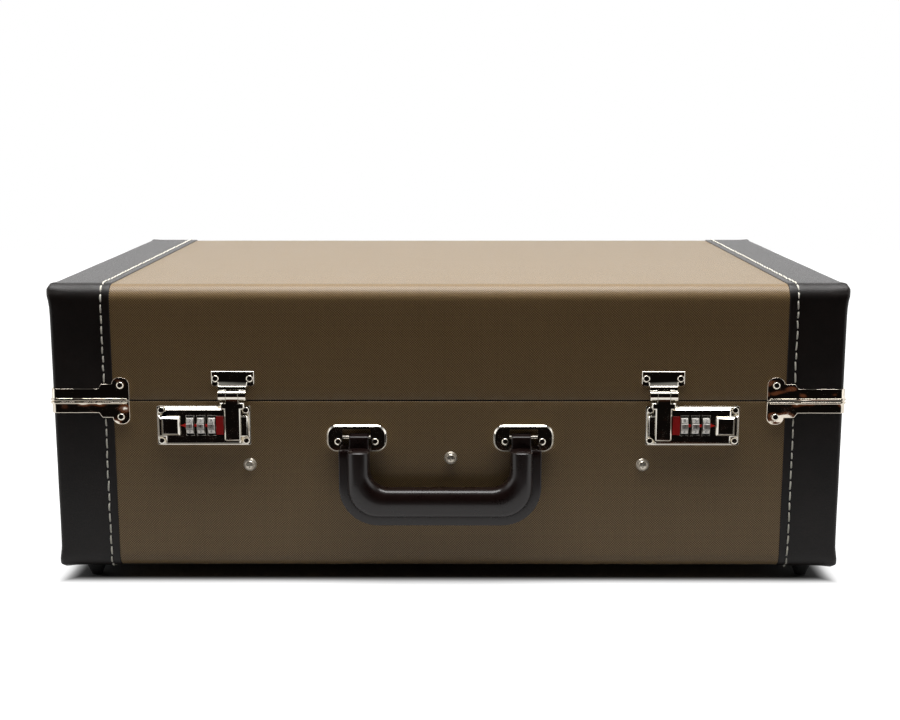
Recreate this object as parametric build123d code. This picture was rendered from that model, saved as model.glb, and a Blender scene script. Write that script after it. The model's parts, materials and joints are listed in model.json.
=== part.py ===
from build123d import *
import os

# Hard case with a hinged lid, two combination hasp locks and a drop handle.
# Millimetres. X runs to the right, Y away from the front of the case, Z up.
# The origin is at the middle of the whole case on the plane of its feet.

# Closed case, measured over its coverings
case_width = 560.0
case_depth = 345.0
base_height = 124.0
lid_height = 82.0
ground_clearance = 10.0
parting_gap = 0.8
long_edge_radius = 11.0
end_edge_radius = 3.0

# Wooden walls and what covers them
wall = 6.0
cloth = 0.8
leather = 1.6
leather_reach = 41.0
lining = 1.0

# Tongue round the mouth of the base
lip_thickness = 4.0
lip_depth = 12.0
lip_height = 8.0
tongue_gap = 2.0

# Foam insert in the base and pad in the lid
foam_gap = 0.5
foam_drop = 6.0
foam_rib = 20.0
foam_floor = 18.0
pocket_corner = 8.0
left_pocket_width = 280.0
microphone_pocket_depth = 100.0
supply_pocket_depth = 150.0
pad_thickness = 30.0
pad_gap = 2.0
pad_corner = 12.0

# Corner brackets at the parting line
bracket_sheet = 1.2
bracket_reach = 54.5
bracket_strip = 8.8
bracket_lobe_width = 12.4
bracket_lobe_height = 17.4
bracket_lobe_round = 5.4
bracket_rivet_inset = 6.2
bracket_rivet_rise = 11.4
bracket_shoulder_reach = 22.0
bracket_shoulder_height = 12.2
bracket_shoulder_slope = 2.4
bracket_roll = 1.0
bracket_roll_height = 1.6
bracket_roll_inset = 2.0

# Rivets, all of one kind
rivet_radius = 1.5
rivet_head_radius = 2.6
rivet_head_height = 1.5
rivet_head_round = 1.2
rivet_depth = 5.0

# Rear hinges
rear_hinge_bracket_gap = 20.5
rear_leaf_width = 50.0
rear_leaf_height = 20.0
rear_leaf_sheet = 1.2
rear_leaf_corner = 3.6
rear_rivet_spacing = 33.0
rear_rivet_rise = 12.4
rear_knuckle_radius = 3.5
rear_knuckle_stand = 0.3
rear_pin_radius = 1.5
rear_middle_knuckle = 18.0
knuckle_gap = 0.2
turning_fit = 0.05

# Locks
lock_leather_gap = 32.4
lock_drop = 17.8
lock_height_off_cloth = 5.0
lock_sheet = 1.0
lock_flange = 1.2
lock_border = 6.0
lock_inner_margin = 6.1
works_rise = 0.8
slide_clearance = 0.3
rivet_inset = 3.1
notch_margin = 0.8
window_edge_gap = 0.1

# Number wheels
dial_count = 3
dial_faces = 10
dial_radius = 7.0
dial_width = 5.0
dial_pitch = 7.65
dial_groove = 0.6
dial_bevel = 0.4
dial_window_gap = 0.35
axle_radius = 1.5
axle_ear_gap = 1.6
works_sheet = 0.9
works_back_gap = 0.6

# Red flag between the wheels and the hasp
flag_width = 5.1
flag_height = 13.4
flag_gap = 1.0
flag_thickness = 0.6
flag_recess = 0.5
flag_window_gap = 0.2

# Slide button, bolt and spring
button_width = 13.0
button_height = 13.4
button_thickness = 3.2
button_bevel = 1.3
button_gap = 0.2
button_arrow_gap = 4.4
button_margin = 4.3
button_travel = 3.5
bolt_sheet = 1.4
bolt_stand = 1.6
bolt_bar_height = 3.0
bolt_bar_rise = 1.1
bolt_link_width = 4.0
bolt_plate_height = 8.8
bolt_nose_length = 5.0
bolt_nose_gap = 0.4
stem_width = 4.0
stem_height = 6.0
spring_radius = 1.75
spring_wire = 0.5
spring_turns = 6
spring_tab = 1.4
spring_tab_inset = 1.0
spring_tab_reach = 2.0

# Hasp
tongue_width = 11.6
tongue_corner = 1.5
tee_width = 17.2
tee_height = 5.2
hasp_length = 32.5
hasp_thickness = 2.0
hasp_bevel = 0.9
hasp_gap = 0.3
hasp_knuckle_radius = 3.8
hasp_knuckle_stand = 0.4
hasp_knuckle_width = 8.9
hasp_barrel_width = 19.4
hasp_pin_radius = 1.1
hasp_axis_rise = 4.5
tee_clearance = 0.7
staple_width = 2.0
staple_height = 5.2
staple_inset = 1.1
staple_side_gap = 0.7
staple_foot_gap = 0.4
staple_web = 0.3
staple_hole_gap = 0.2

# Plate that carries the hasp on the lid
top_plate_width = 30.8
top_plate_height = 10.7
top_plate_sheet = 1.5
top_plate_rise = 2.5
top_plate_corner = 2.5
top_plate_rivet_spacing = 24.3
shoulder_width = 19.4
shoulder_slope = 2.7

# Handle
handle_offset = -5.5
leg_spacing = 115.0
leg_width = 16.2
grip_thickness = 15.0
grip_gap = 0.4
grip_bar_height = 21.0
grip_drop = 56.0
grip_outer_radius = 22.0
grip_inner_radius = 12.0
grip_edge_radius = 6.0
grip_flange = 6.0
grip_flange_thickness = 4.0
grip_flange_drop = 0.5
tab_width = 13.5
tab_thickness = 3.2
tab_length = 8.4
tab_top = 1.6
tab_round = 2.24
tab_root = 1.0
loop_radius = 2.75
core_thickness = 2.0
core_width = 8.0
core_top_gap = 4.0
handle_pin_radius = 1.3
handle_pin_seat = 2.0
handle_pin_stand = 3.3
handle_pin_drop = 25.8
handle_plate_width = 42.6
handle_plate_height = 19.8
handle_plate_drop = 0.9
handle_plate_thickness = 4.6
handle_plate_corner = 7.5
handle_plate_bevel = 1.2
handle_plate_shift = 1.75
handle_window_width = 19.8
handle_window_height = 12.0
handle_rivet_spacing = 26.2
handle_rivet_drop = 2.9

# Screws with cup washers on the front, and the rail they hold
side_screw_drop = 46.8
side_screw_shift = -1.3
middle_screw_offset = 2.0
middle_screw_drop = 41.9
screw_radius = 1.8
screw_head_radius = 3.2
screw_crown_radius = 2.56
screw_crown_rise = 0.9
screw_head_height = 1.2
screw_length = 13.0
screw_slot_width = 0.8
screw_slot_length = 3.6
screw_slot_depth = 1.0
cup_radius = 4.75
cup_height = 1.4
cup_lip = 0.9
rail_height = 24.0
rail_thickness = 8.0
rail_end_margin = 20.0

# Feet
foot_top_radius = 7.5
foot_tip_radius = 4.0
foot_inset_x = 20.5
foot_inset_y = 18.0
foot_screw_radius = 1.5
foot_screw_head_radius = 2.5
foot_screw_head_height = 2.0
foot_screw_recess = 4.0
foot_screw_depth = 5.0
foot_screw_gap = 0.2

# Planes of the closed case
front_reach = handle_plate_thickness + grip_gap + grip_thickness
rear_reach = rear_knuckle_stand + 2 * rear_knuckle_radius
front_y = -(case_depth + rear_reach - front_reach) / 2
back_y = front_y + case_depth
base_bottom = ground_clearance
parting = base_bottom + base_height
base_top = parting - parting_gap / 2
lid_bottom = parting + parting_gap / 2
lid_top = parting + lid_height
shell_bottom = base_bottom + cloth
shell_top = lid_top - cloth
middle_y = (front_y + back_y) / 2
shell_half_width = case_width / 2 - leather
shell_half_depth = case_depth / 2 - cloth
cavity_half_width = shell_half_width - wall
cavity_half_depth = shell_half_depth - wall
leather_edge = case_width / 2 - leather_reach
rail_z = parting - (side_screw_drop + middle_screw_drop) / 2
foam_half_width = cavity_half_width - lip_thickness - foam_gap
foam_half_depth = cavity_half_depth - lip_thickness - foam_gap
foam_bottom = shell_bottom + wall + lining
foam_top = base_top - foam_drop
pad_bottom = shell_top - wall - lining - pad_thickness

# The front seen square on: sketch x is world X, sketch y is world Z
front_plane = Plane(origin=(0, front_y, 0), x_dir=(1, 0, 0), z_dir=(0, -1, 0))
back_plane = Plane(origin=(0, back_y, 0), x_dir=(-1, 0, 0), z_dir=(0, 1, 0))
right_plane = Plane(origin=(case_width / 2, 0, 0), x_dir=(0, 1, 0), z_dir=(1, 0, 0))
left_plane = Plane(origin=(-case_width / 2, 0, 0), x_dir=(0, -1, 0), z_dir=(-1, 0, 0))

# How close two places are when they count as one
touching = 0.001

# Places in the lock, worked out from its outer edge towards the hasp
lock_outer_edge = leather_edge - lock_leather_gap
button_x = lock_outer_edge - button_margin - button_width / 2
last_dial_x = button_x - button_width / 2 - button_arrow_gap - dial_width / 2
first_dial_x = last_dial_x - (dial_count - 1) * dial_pitch
flag_x = first_dial_x - dial_width / 2 - dial_window_gap - flag_window_gap - flag_width / 2
hasp_distance = flag_x - flag_width / 2 - flag_gap - tongue_width / 2
lock_inner_edge = hasp_distance - tongue_width / 2 - lock_inner_margin
lock_width = lock_outer_edge - lock_inner_edge
lock_x = (lock_outer_edge + lock_inner_edge) / 2
works_half_height = dial_radius + slide_clearance + works_sheet
lock_height = 2 * (works_half_height + lock_border)
lock_z = parting - lock_drop
works_z = lock_z + works_rise
axle_stand = dial_radius + works_back_gap + works_sheet - wall - cloth
works_inner_edge = first_dial_x - dial_width / 2 - axle_ear_gap - works_sheet
works_partition = last_dial_x + dial_width / 2 + axle_ear_gap
works_outer_edge = lock_outer_edge - lock_flange - lock_sheet - slide_clearance
notch_width = rivet_inset + rivet_head_radius + notch_margin
notch_wall_x = lock_outer_edge - notch_width - lock_sheet
cavity_outer_x = lock_outer_edge - lock_flange - lock_sheet
cavity_bottom_z = lock_z - lock_height / 2 + lock_flange + lock_sheet
bolt_link_outer = notch_wall_x - button_travel - slide_clearance
bolt_bar_bottom = cavity_bottom_z + bolt_bar_rise
bolt_bar_top = bolt_bar_bottom + bolt_bar_height
button_back = lock_height_off_cloth + button_gap
spring_axis_depth = (wall + cloth) / 2

# Places in the hasp
hasp_axis_stand = hasp_knuckle_radius + hasp_knuckle_stand
hasp_axis_z = parting + hasp_axis_rise
hasp_back = lock_height_off_cloth + hasp_gap
hasp_front = hasp_back + hasp_thickness
hasp_tip_z = hasp_axis_z - hasp_length
tee_top_z = hasp_axis_z - hasp_knuckle_radius - tee_clearance
staple_z = hasp_tip_z + staple_inset + staple_height / 2
top_plate_bottom = hasp_axis_z + hasp_knuckle_radius + top_plate_rise

# Places in the handle
handle_pin_z = parting - handle_pin_drop
grip_back = handle_plate_thickness + grip_gap
grip_top = handle_pin_z - tab_length
grip_bottom = handle_pin_z - grip_drop
flange_top = grip_top - grip_flange_drop
handle_pin_half = handle_window_width / 2 + handle_pin_seat

# Places at the corners and on the back
bracket_rivet_x = case_width / 2 - bracket_reach + bracket_rivet_inset
bracket_rivet_y = case_depth / 2 - bracket_reach + bracket_rivet_inset
rear_hinge_spacing = case_width / 2 - bracket_reach - rear_hinge_bracket_gap - rear_leaf_width / 2
rear_axis_stand = rear_knuckle_stand + rear_knuckle_radius


def block(x_low, x_high, y_low, y_high, z_low, z_high):
    """Plain box between two corners."""
    size = (x_high - x_low, y_high - y_low, z_high - z_low)
    middle = ((x_low + x_high) / 2, (y_low + y_high) / 2, (z_low + z_high) / 2)
    return Pos(*middle) * Box(*size)


def front_block(x_low, x_high, start, end, z_low, z_high):
    """Plain box in front of the cloth, from start to end millimetres forward of it."""
    return block(x_low, x_high, front_y - end, front_y - start, z_low, z_high)


def stand(plane, outline, start, end):
    """Solid that an outline makes between two distances in front of a plane."""
    return extrude(plane.offset(start) * outline, amount=end - start)


def rod_x(radius, x_low, x_high, y, z):
    """Round bar along X."""
    return Pos((x_low + x_high) / 2, y, z) * Rot(0, 90, 0) * Cylinder(radius, x_high - x_low)


def mirrored(solid):
    """The same piece on the other side of the case."""
    return mirror(solid, about=Plane.YZ)


def facing_edges(solid, plane, distance):
    """Edges of the flat face that lies at a distance in front of a plane."""
    level = plane.offset(distance)
    faces = [f for f in solid.faces() if abs(level.to_local_coords(f.center()).Z) < touching
             and f.geom_type == GeomType.PLANE
             and abs(abs(f.normal_at().dot(plane.z_dir)) - 1) < touching]
    return [edge for face in faces for edge in face.edges()]


def case_block(growth, z_low, z_high, rounded_below):
    """Half of the case as one solid, grown outwards from the wood, open edge left sharp."""
    half_depth = shell_half_depth + growth
    half_width = shell_half_width + growth
    edge_radius = long_edge_radius - cloth + growth
    section = Pos(middle_y, (z_low + z_high) / 2) * Rectangle(2 * half_depth, z_high - z_low)
    ends = section.vertices().sort_by(Axis.Y)
    section = fillet(ends[:2] if rounded_below else ends[-2:], radius=edge_radius)
    solid = extrude(Plane.YZ * section, amount=half_width, both=True)
    open_z = z_high if rounded_below else z_low
    end_edges = [edge for face in solid.faces().filter_by(Axis.X) for edge in face.edges()
                 if not all(abs(v.Z - open_z) < touching for v in edge.vertices())]
    return fillet(end_edges, radius=end_edge_radius - leather + growth)


def base_block(growth):
    """Outside of the base, grown outwards from the wood."""
    return case_block(growth, shell_bottom - growth, base_top, True)


def lid_block(growth):
    """Outside of the lid, grown outwards from the wood."""
    return case_block(growth, lid_bottom, shell_top + growth, False)


def middle_slab():
    """Stretch of the case between the leather ends."""
    return block(-leather_edge, leather_edge, front_y - case_depth, back_y + case_depth, 0,
                 2 * lid_top)


def inner_block(inset, z_low, z_high):
    """Box inside the wooden walls, set in from them."""
    half_width = cavity_half_width - inset
    half_depth = cavity_half_depth - inset
    return block(-half_width, half_width, middle_y - half_depth, middle_y + half_depth,
                 z_low, z_high)


def rivet(plane, x, y, level):
    """Domed rivet that sits at a level in front of a plane."""
    head = Pos(0, 0, level) * Cylinder(
        rivet_head_radius, rivet_head_height, align=(Align.CENTER, Align.CENTER, Align.MIN))
    head = fillet(head.edges().sort_by(Axis.Z)[-1], radius=rivet_head_round)
    shank = Pos(0, 0, -rivet_depth) * Cylinder(
        rivet_radius, level + rivet_depth, align=(Align.CENTER, Align.CENTER, Align.MIN))
    return plane * Pos(x, y, 0) * (head + shank)


def rivet_holes(places, plane):
    """Round bars that cut the rivets' holes through everything on a plane."""
    return [plane * Pos(x, y, 0) * Cylinder(rivet_radius, 2 * rivet_depth) for x, y in places]


def cut_all(solid, cutters):
    """A solid with every cutter taken out of it."""
    for cutter in cutters:
        solid = solid - cutter
    return solid


# Where the rivets go

def bracket_rivets(above):
    """Rivets of the four brackets above or below the parting line, with their planes."""
    z = parting + (bracket_rivet_rise if above else -bracket_rivet_rise)
    level = leather - cloth + bracket_sheet
    places = []
    for sign in (-1, 1):
        places.append((front_plane, sign * bracket_rivet_x, z, level))
        places.append((back_plane, sign * bracket_rivet_x, z, level))
        places.append((right_plane, middle_y + sign * bracket_rivet_y, z, bracket_sheet))
        places.append((left_plane, -middle_y + sign * bracket_rivet_y, z, bracket_sheet))
    return places


def rear_leaf_rivets(above):
    """Places of the rivets in the rear leaves, on the back plane."""
    z = parting + (rear_rivet_rise if above else -rear_rivet_rise)
    return [(side * rear_hinge_spacing + end * rear_rivet_spacing / 2, z)
            for side in (-1, 0, 1) for end in (-1, 1)]


def lock_rivet_places():
    """Places of the four corner rivets of both lock plates, on the front plane."""
    half_width = lock_width / 2 - rivet_inset
    half_height = lock_height / 2 - rivet_inset
    return [(side * lock_x + a * half_width, lock_z + b * half_height)
            for side in (-1, 1) for a in (-1, 1) for b in (-1, 1)]


def top_plate_rivet_places():
    """Places of the rivets in both top plates, on the front plane."""
    z = top_plate_bottom + top_plate_height / 2
    return [(side * hasp_distance + end * top_plate_rivet_spacing / 2, z)
            for side in (-1, 1) for end in (-1, 1)]


def leg_places():
    """Middle of each handle leg and of the plate over it, along X."""
    return [(handle_offset + side * leg_spacing / 2,
             handle_offset + side * (leg_spacing / 2 + handle_plate_shift)) for side in (-1, 1)]


def handle_rivet_places():
    """Places of the four handle rivets, on the front plane."""
    z = handle_pin_z - handle_rivet_drop
    return [(plate_x + side * handle_rivet_spacing / 2, z)
            for _, plate_x in leg_places() for side in (-1, 1)]


def screw_places():
    """Places of the three front screws, on the front plane."""
    return [(side_screw_shift - lock_inner_edge, parting - side_screw_drop),
            (middle_screw_offset, parting - middle_screw_drop),
            (side_screw_shift + lock_inner_edge, parting - side_screw_drop)]


def screw_holes():
    """Round bars that cut the holes of the front screws."""
    return [front_plane * Pos(x, z, 0) * Cylinder(screw_radius, 2 * screw_length)
            for x, z in screw_places()]


def foot_places():
    """Middle of each foot on the floor."""
    x = case_width / 2 - foot_inset_x
    y = case_depth / 2 - foot_inset_y
    return [(a * x, middle_y + b * y) for a in (-1, 1) for b in (-1, 1)]


# Wood and coverings

def works_pocket():
    """Opening through the front wall for the works of the right lock."""
    return front_block(works_inner_edge, works_outer_edge, -(wall + cloth), cloth,
                       works_z - works_half_height, works_z + works_half_height)


def base_cutters():
    """Everything that passes through the wood and coverings of the base."""
    cutters = [works_pocket(), mirrored(works_pocket())]
    for plane, x, z, _ in bracket_rivets(above=False):
        cutters += rivet_holes([(x, z)], plane)
    cutters += rivet_holes(lock_rivet_places() + handle_rivet_places(), front_plane)
    cutters += rivet_holes(rear_leaf_rivets(above=False), back_plane)
    cutters += screw_holes()
    for x, y in foot_places():
        cutters.append(Pos(x, y, shell_bottom) * Cylinder(foot_screw_radius,
                                                          2 * foot_screw_depth))
    return cutters


def lid_cutters():
    """Every rivet hole through the wood and coverings of the lid."""
    cutters = []
    for plane, x, z, _ in bracket_rivets(above=True):
        cutters += rivet_holes([(x, z)], plane)
    cutters += rivet_holes(top_plate_rivet_places(), front_plane)
    cutters += rivet_holes(rear_leaf_rivets(above=True), back_plane)
    return cutters


def coverings(outside, cutters):
    """Wood, cloth and both leather ends of one half, from its outside at a growth."""
    wood = outside(0)
    cloth_skin = cut_all((outside(cloth) & middle_slab()) - wood, cutters)
    ends = cut_all(outside(leather) - wood - middle_slab(), cutters)
    left_end, right_end = ends.solids().sort_by(Axis.X)
    return wood, cloth_skin, left_end, right_end


def base_lining():
    """Plush over the floor and walls of the base, up to the tongue."""
    top = base_top - lip_depth
    outer = inner_block(0, shell_bottom + wall, top)
    inner = inner_block(lining, foam_bottom, top)
    return cut_all(outer - inner, screw_holes())


def lid_lining():
    """Plush over the top and walls of the lid."""
    outer = inner_block(0, lid_bottom, shell_top - wall)
    inner = inner_block(lining, lid_bottom, shell_top - wall - lining)
    return outer - inner


def lip_frame():
    """Wooden tongue that stands out of the base and locates the lid."""
    low = base_top - lip_depth
    high = parting + lip_height
    outer = inner_block(0, low, high)
    rebate = inner_block(0, base_top, high) - inner_block(tongue_gap, base_top, high)
    return outer - inner_block(lip_thickness, low, high) - rebate


def rail():
    """Wooden rail behind the front wall that the screws hold."""
    half_length = lock_inner_edge + rail_end_margin
    start = -(wall + cloth + lining)
    return front_block(-half_length, half_length, start - rail_thickness, start,
                       rail_z - rail_height / 2, rail_z + rail_height / 2)


def front_rail():
    """The rail with its screw holes."""
    return cut_all(rail(), screw_holes())


def pocket_boxes():
    """Extents of the four pockets in the foam, each as x and y limits."""
    left = -foam_half_width + foam_rib
    split = left + left_pocket_width
    right = foam_half_width - foam_rib
    near = middle_y - foam_half_depth + foam_rib
    far = middle_y + foam_half_depth - foam_rib
    microphone_far = near + microphone_pocket_depth
    supply_far = near + supply_pocket_depth
    return [(left, split, near, microphone_far),
            (left, split, microphone_far + foam_rib, far),
            (split + foam_rib, right, near, supply_far),
            (split + foam_rib, right, supply_far + foam_rib, far)]


def foam_insert():
    """Foam block of the base with a pocket for each part of the outfit."""
    foam = block(-foam_half_width, foam_half_width, middle_y - foam_half_depth,
                 middle_y + foam_half_depth, foam_bottom, foam_top)
    for x_low, x_high, y_low, y_high in pocket_boxes():
        outline = Pos((x_low + x_high) / 2, (y_low + y_high) / 2) * RectangleRounded(
            x_high - x_low, y_high - y_low, pocket_corner)
        foam -= stand(Plane.XY, outline, foam_bottom + foam_floor, foam_top)
    room = rail().bounding_box()
    return foam - block(room.min.X - foam_gap, room.max.X + foam_gap, room.min.Y - foam_gap,
                        room.max.Y + foam_gap, room.min.Z - foam_gap, room.max.Z + foam_gap)


def lid_pad():
    """Soft pad under the top of the lid."""
    half_width = cavity_half_width - lining - pad_gap
    half_depth = cavity_half_depth - lining - pad_gap
    outline = Pos(0, middle_y) * RectangleRounded(2 * half_width, 2 * half_depth, pad_corner)
    return stand(Plane.XY, outline, pad_bottom, pad_bottom + pad_thickness)


# Corner brackets

def bracket_outline(corner, rise):
    """Shape of a bracket from a corner inwards: strip, shoulder and rivet lobe."""
    start = corner - bracket_reach
    low = rise * parting_gap / 2
    lobe_end = start + bracket_lobe_width
    lobe = Pos((start + lobe_end) / 2, rise * bracket_lobe_height / 2) * Rectangle(
        bracket_lobe_width, bracket_lobe_height - parting_gap)
    far_corners = lobe.vertices().sort_by(Axis.Y)[2:] if rise > 0 else lobe.vertices().sort_by(
        Axis.Y)[:2]
    lobe = fillet(far_corners, radius=bracket_lobe_round)
    strip_end = corner + bracket_strip
    shoulder_end = start + bracket_shoulder_reach
    arm = make_face(Polyline(
        (start + bracket_lobe_width / 2, low), (strip_end, low),
        (strip_end, rise * bracket_strip), (shoulder_end, rise * bracket_strip),
        (shoulder_end - bracket_shoulder_slope, rise * bracket_shoulder_height),
        (start + bracket_lobe_width / 2, rise * bracket_shoulder_height), close=True))
    return Pos(0, parting) * (lobe + arm)


def bracket(above):
    """Right front corner bracket, wrapped round the corner on to the end."""
    rise = 1 if above else -1
    outside = lid_block if above else base_block
    front_mask = stand(front_plane, bracket_outline(case_width / 2, rise),
                       -bracket_reach / 4, bracket_reach / 4)
    end_outline = Pos(2 * middle_y, 0) * mirror(
        bracket_outline(middle_y + case_depth / 2, rise), about=Plane.YZ)
    end_mask = stand(right_plane, end_outline, -bracket_reach / 4, bracket_reach / 4)
    body = outside(leather + bracket_sheet) & (front_mask + end_mask)
    roll_z = parting + rise * (parting_gap / 2 + bracket_roll_height / 2)
    roll_reach = bracket_reach - bracket_roll_inset
    roll_zone = block(case_width / 2 - roll_reach, case_width, front_y - case_depth,
                      front_y + roll_reach, roll_z - bracket_roll_height / 2,
                      roll_z + bracket_roll_height / 2)
    roll = outside(leather + bracket_sheet + bracket_roll) & roll_zone
    inner = (outside(cloth) & middle_slab()) + (outside(leather) - middle_slab())
    solid = (body + roll) - inner - outside(0)
    holes = []
    for plane, x, z, _ in bracket_rivets(above):
        holes += rivet_holes([(x, z)], plane)
    return cut_all(solid, holes)


def bracket_pair(above):
    """Front and back brackets of the right-hand end."""
    front = bracket(above)
    back = mirror(front, about=Plane(origin=(0, middle_y, 0), z_dir=(0, 1, 0)))
    return Part() + [front, back]


def rivet_group(places):
    """Separate rivets, one at each place."""
    return Part() + [rivet(plane, x, y, level) for plane, x, y, level in places]


# Rear hinges

def rear_leaf(above):
    """Leaf of the middle rear hinge, with its share of the knuckles."""
    low, high = (parting, parting + rear_leaf_height)
    if not above:
        low, high = (parting - rear_leaf_height, parting)
    sheet = block(-rear_leaf_width / 2, rear_leaf_width / 2, back_y, back_y + rear_leaf_sheet,
                  low, high)
    corners = sheet.edges().filter_by(Axis.Y).group_by(Axis.Z)[-1 if above else 0]
    sheet = fillet(corners, radius=rear_leaf_corner)
    axis_y = back_y + rear_axis_stand
    barrel = rod_x(rear_knuckle_radius, -rear_leaf_width / 2, rear_leaf_width / 2, axis_y,
                   parting)
    half_middle = rear_middle_knuckle / 2 + (-knuckle_gap / 2 if above else knuckle_gap / 2)
    middle = block(-half_middle, half_middle, back_y - rear_knuckle_radius,
                   back_y + 4 * rear_knuckle_radius, parting - 2 * rear_knuckle_radius,
                   parting + 2 * rear_knuckle_radius)
    clear = rod_x(rear_knuckle_radius + knuckle_gap, -rear_leaf_width / 2,
                  rear_leaf_width / 2, axis_y, parting)
    if above:
        leaf = (sheet - (clear - middle)) + (barrel & middle)
        bore = rear_pin_radius + turning_fit
    else:
        leaf = (sheet - (clear & middle)) + (barrel - middle)
        bore = rear_pin_radius
    leaf -= rod_x(bore, -rear_leaf_width, rear_leaf_width, axis_y, parting)
    holes = rivet_holes(rear_leaf_rivets(above), back_plane)
    return cut_all(leaf, holes[2:4])


def rear_row(piece):
    """The same piece at each of the three rear hinges."""
    return Part() + [Pos(side * rear_hinge_spacing, 0, 0) * piece for side in (-1, 0, 1)]


def rear_pin():
    """Pin of the middle rear hinge."""
    return rod_x(rear_pin_radius, -rear_leaf_width / 2, rear_leaf_width / 2,
                 back_y + rear_axis_stand, parting)


# Locks, drawn for the right-hand side

def notched(width, height, notch_x, notch_y):
    """Rectangle about the lock's middle with its four corners cut away."""
    outline = Rectangle(width, height)
    for a in (-1, 1):
        for b in (-1, 1):
            outline -= Pos(a * width / 2, b * height / 2) * Rectangle(2 * notch_x, 2 * notch_y)
    return Pos(lock_x, lock_z) * outline


def dial_places():
    """Middle of each number wheel of the right lock, along X."""
    return [first_dial_x + n * dial_pitch for n in range(dial_count)]


def lock_plate():
    """Pressed cover of the lock: flange, raised body, windows and staple channel."""
    flange = stand(front_plane, Pos(lock_x, lock_z) * RectangleRounded(
        lock_width, lock_height, lock_flange), 0, lock_flange)
    notch = notch_width - lock_flange
    body_width = lock_width - 2 * lock_flange
    body_height = lock_height - 2 * lock_flange
    raised = stand(front_plane, notched(body_width, body_height, notch, notch), 0,
                   lock_height_off_cloth)
    raised = chamfer(facing_edges(raised, front_plane, lock_height_off_cloth),
                     length=lock_sheet)
    hollow = stand(front_plane, notched(body_width - 2 * lock_sheet, body_height - 2 * lock_sheet,
                                        notch, notch), 0, lock_height_off_cloth - lock_sheet)
    plate = (flange + raised) - hollow
    window_half = works_half_height - works_sheet - window_edge_gap
    for x in dial_places():
        half = dial_width / 2 + dial_window_gap
        plate -= front_block(x - half, x + half, 0, 2 * lock_height_off_cloth,
                             works_z - window_half, works_z + window_half)
    plate -= front_block(button_x - stem_width / 2 - slide_clearance,
                         button_x + stem_width / 2 + button_travel + slide_clearance, 0,
                         2 * lock_height_off_cloth, works_z - stem_height / 2 - slide_clearance,
                         works_z + stem_height / 2 + slide_clearance)
    channel_half = staple_width / 2 + staple_side_gap
    plate -= front_block(hasp_distance - channel_half, hasp_distance + channel_half, 0,
                         2 * lock_height_off_cloth, staple_z - staple_height / 2 - staple_side_gap,
                         lock_z + lock_height)
    plate -= front_block(flag_x - flag_width / 2, flag_x + flag_width / 2,
                         lock_height_off_cloth - flag_recess, 2 * lock_height_off_cloth,
                         works_z - flag_height / 2, works_z + flag_height / 2)
    return cut_all(plate, rivet_holes(lock_rivet_places(), front_plane))


def works_case():
    """Steel tray in the wall that holds the wheels and the spring."""
    z_low = works_z - works_half_height
    z_high = works_z + works_half_height
    deep = -(wall + cloth)
    tray = front_block(works_inner_edge, works_outer_edge, deep, 0, z_low, z_high)
    inside_low = z_low + works_sheet
    inside_high = z_high - works_sheet
    tray -= front_block(works_inner_edge + works_sheet, works_partition, deep + works_sheet,
                        wall, inside_low, inside_high)
    tray -= front_block(works_partition + works_sheet, works_outer_edge - works_sheet,
                        deep + works_sheet, wall, inside_low, inside_high)
    ear_half = 2 * axle_radius
    for x in (works_inner_edge, works_partition):
        tray += front_block(x, x + works_sheet, 0, bolt_stand + bolt_sheet, works_z - ear_half,
                            works_z + ear_half)
    return tray - axle()


def axle():
    """Axle of the number wheels."""
    return rod_x(axle_radius, works_inner_edge, works_partition + works_sheet,
                 front_y - axle_stand, works_z)


def dial(x):
    """Number wheel with flat faces and a finger groove between each two."""
    middle = Pos(x, front_y - axle_stand, works_z)
    outline = RegularPolygon(dial_radius, dial_faces, rotation=180 / dial_faces)
    for edge in range(dial_faces):
        outline -= Rot(0, 0, (edge + 0.5) * 360 / dial_faces) * Pos(dial_radius, 0) * Circle(
            dial_groove)
    wheel = extrude(Plane.YZ * outline, amount=dial_width / 2, both=True)
    wheel = chamfer(wheel.edges().filter_by(GeomType.LINE).filter_by(Axis.X, reverse=True),
                    length=dial_bevel)
    wheel -= rod_x(axle_radius + turning_fit, -dial_width, dial_width, 0, 0)
    return middle * wheel


def flag():
    """Red enamel strip beside the hasp."""
    start = lock_height_off_cloth - flag_recess
    return front_block(flag_x - flag_width / 2, flag_x + flag_width / 2, start,
                       start + flag_thickness, works_z - flag_height / 2,
                       works_z + flag_height / 2)


def slide_button():
    """Square bevelled button that slides the bolt."""
    outline = Pos(button_x, works_z) * Rectangle(button_width, button_height)
    button_front = button_back + button_thickness
    button = stand(front_plane, outline, button_back, button_front)
    return chamfer(facing_edges(button, front_plane, button_front), length=button_bevel)


def slide_bolt():
    """Sheet bolt behind the plate: stem, plate, link, bar, nose and spring tab."""
    back = bolt_stand
    front = bolt_stand + bolt_sheet
    link_inner = bolt_link_outer - bolt_link_width
    outer = cavity_outer_x - button_travel - slide_clearance
    nose = hasp_distance + staple_width / 2 + bolt_nose_gap
    half_plate = bolt_plate_height / 2
    bolt = front_block(link_inner, outer, back, front, works_z - half_plate, works_z + half_plate)
    bolt += front_block(link_inner, bolt_link_outer, back, front, bolt_bar_bottom, works_z)
    bolt += front_block(nose, bolt_link_outer, back, front, bolt_bar_bottom, bolt_bar_top)
    bolt += front_block(nose, nose + bolt_nose_length, back, front, bolt_bar_bottom,
                        staple_z + bolt_bar_height / 2)
    bolt += front_block(button_x - stem_width / 2, button_x + stem_width / 2, front,
                        button_back, works_z - stem_height / 2, works_z + stem_height / 2)
    tab = link_inner + spring_tab_inset
    bolt += front_block(tab, tab + spring_tab, -spring_axis_depth - spring_tab_reach, front,
                        works_z - stem_height / 2, works_z + stem_height / 2)
    return bolt


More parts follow.
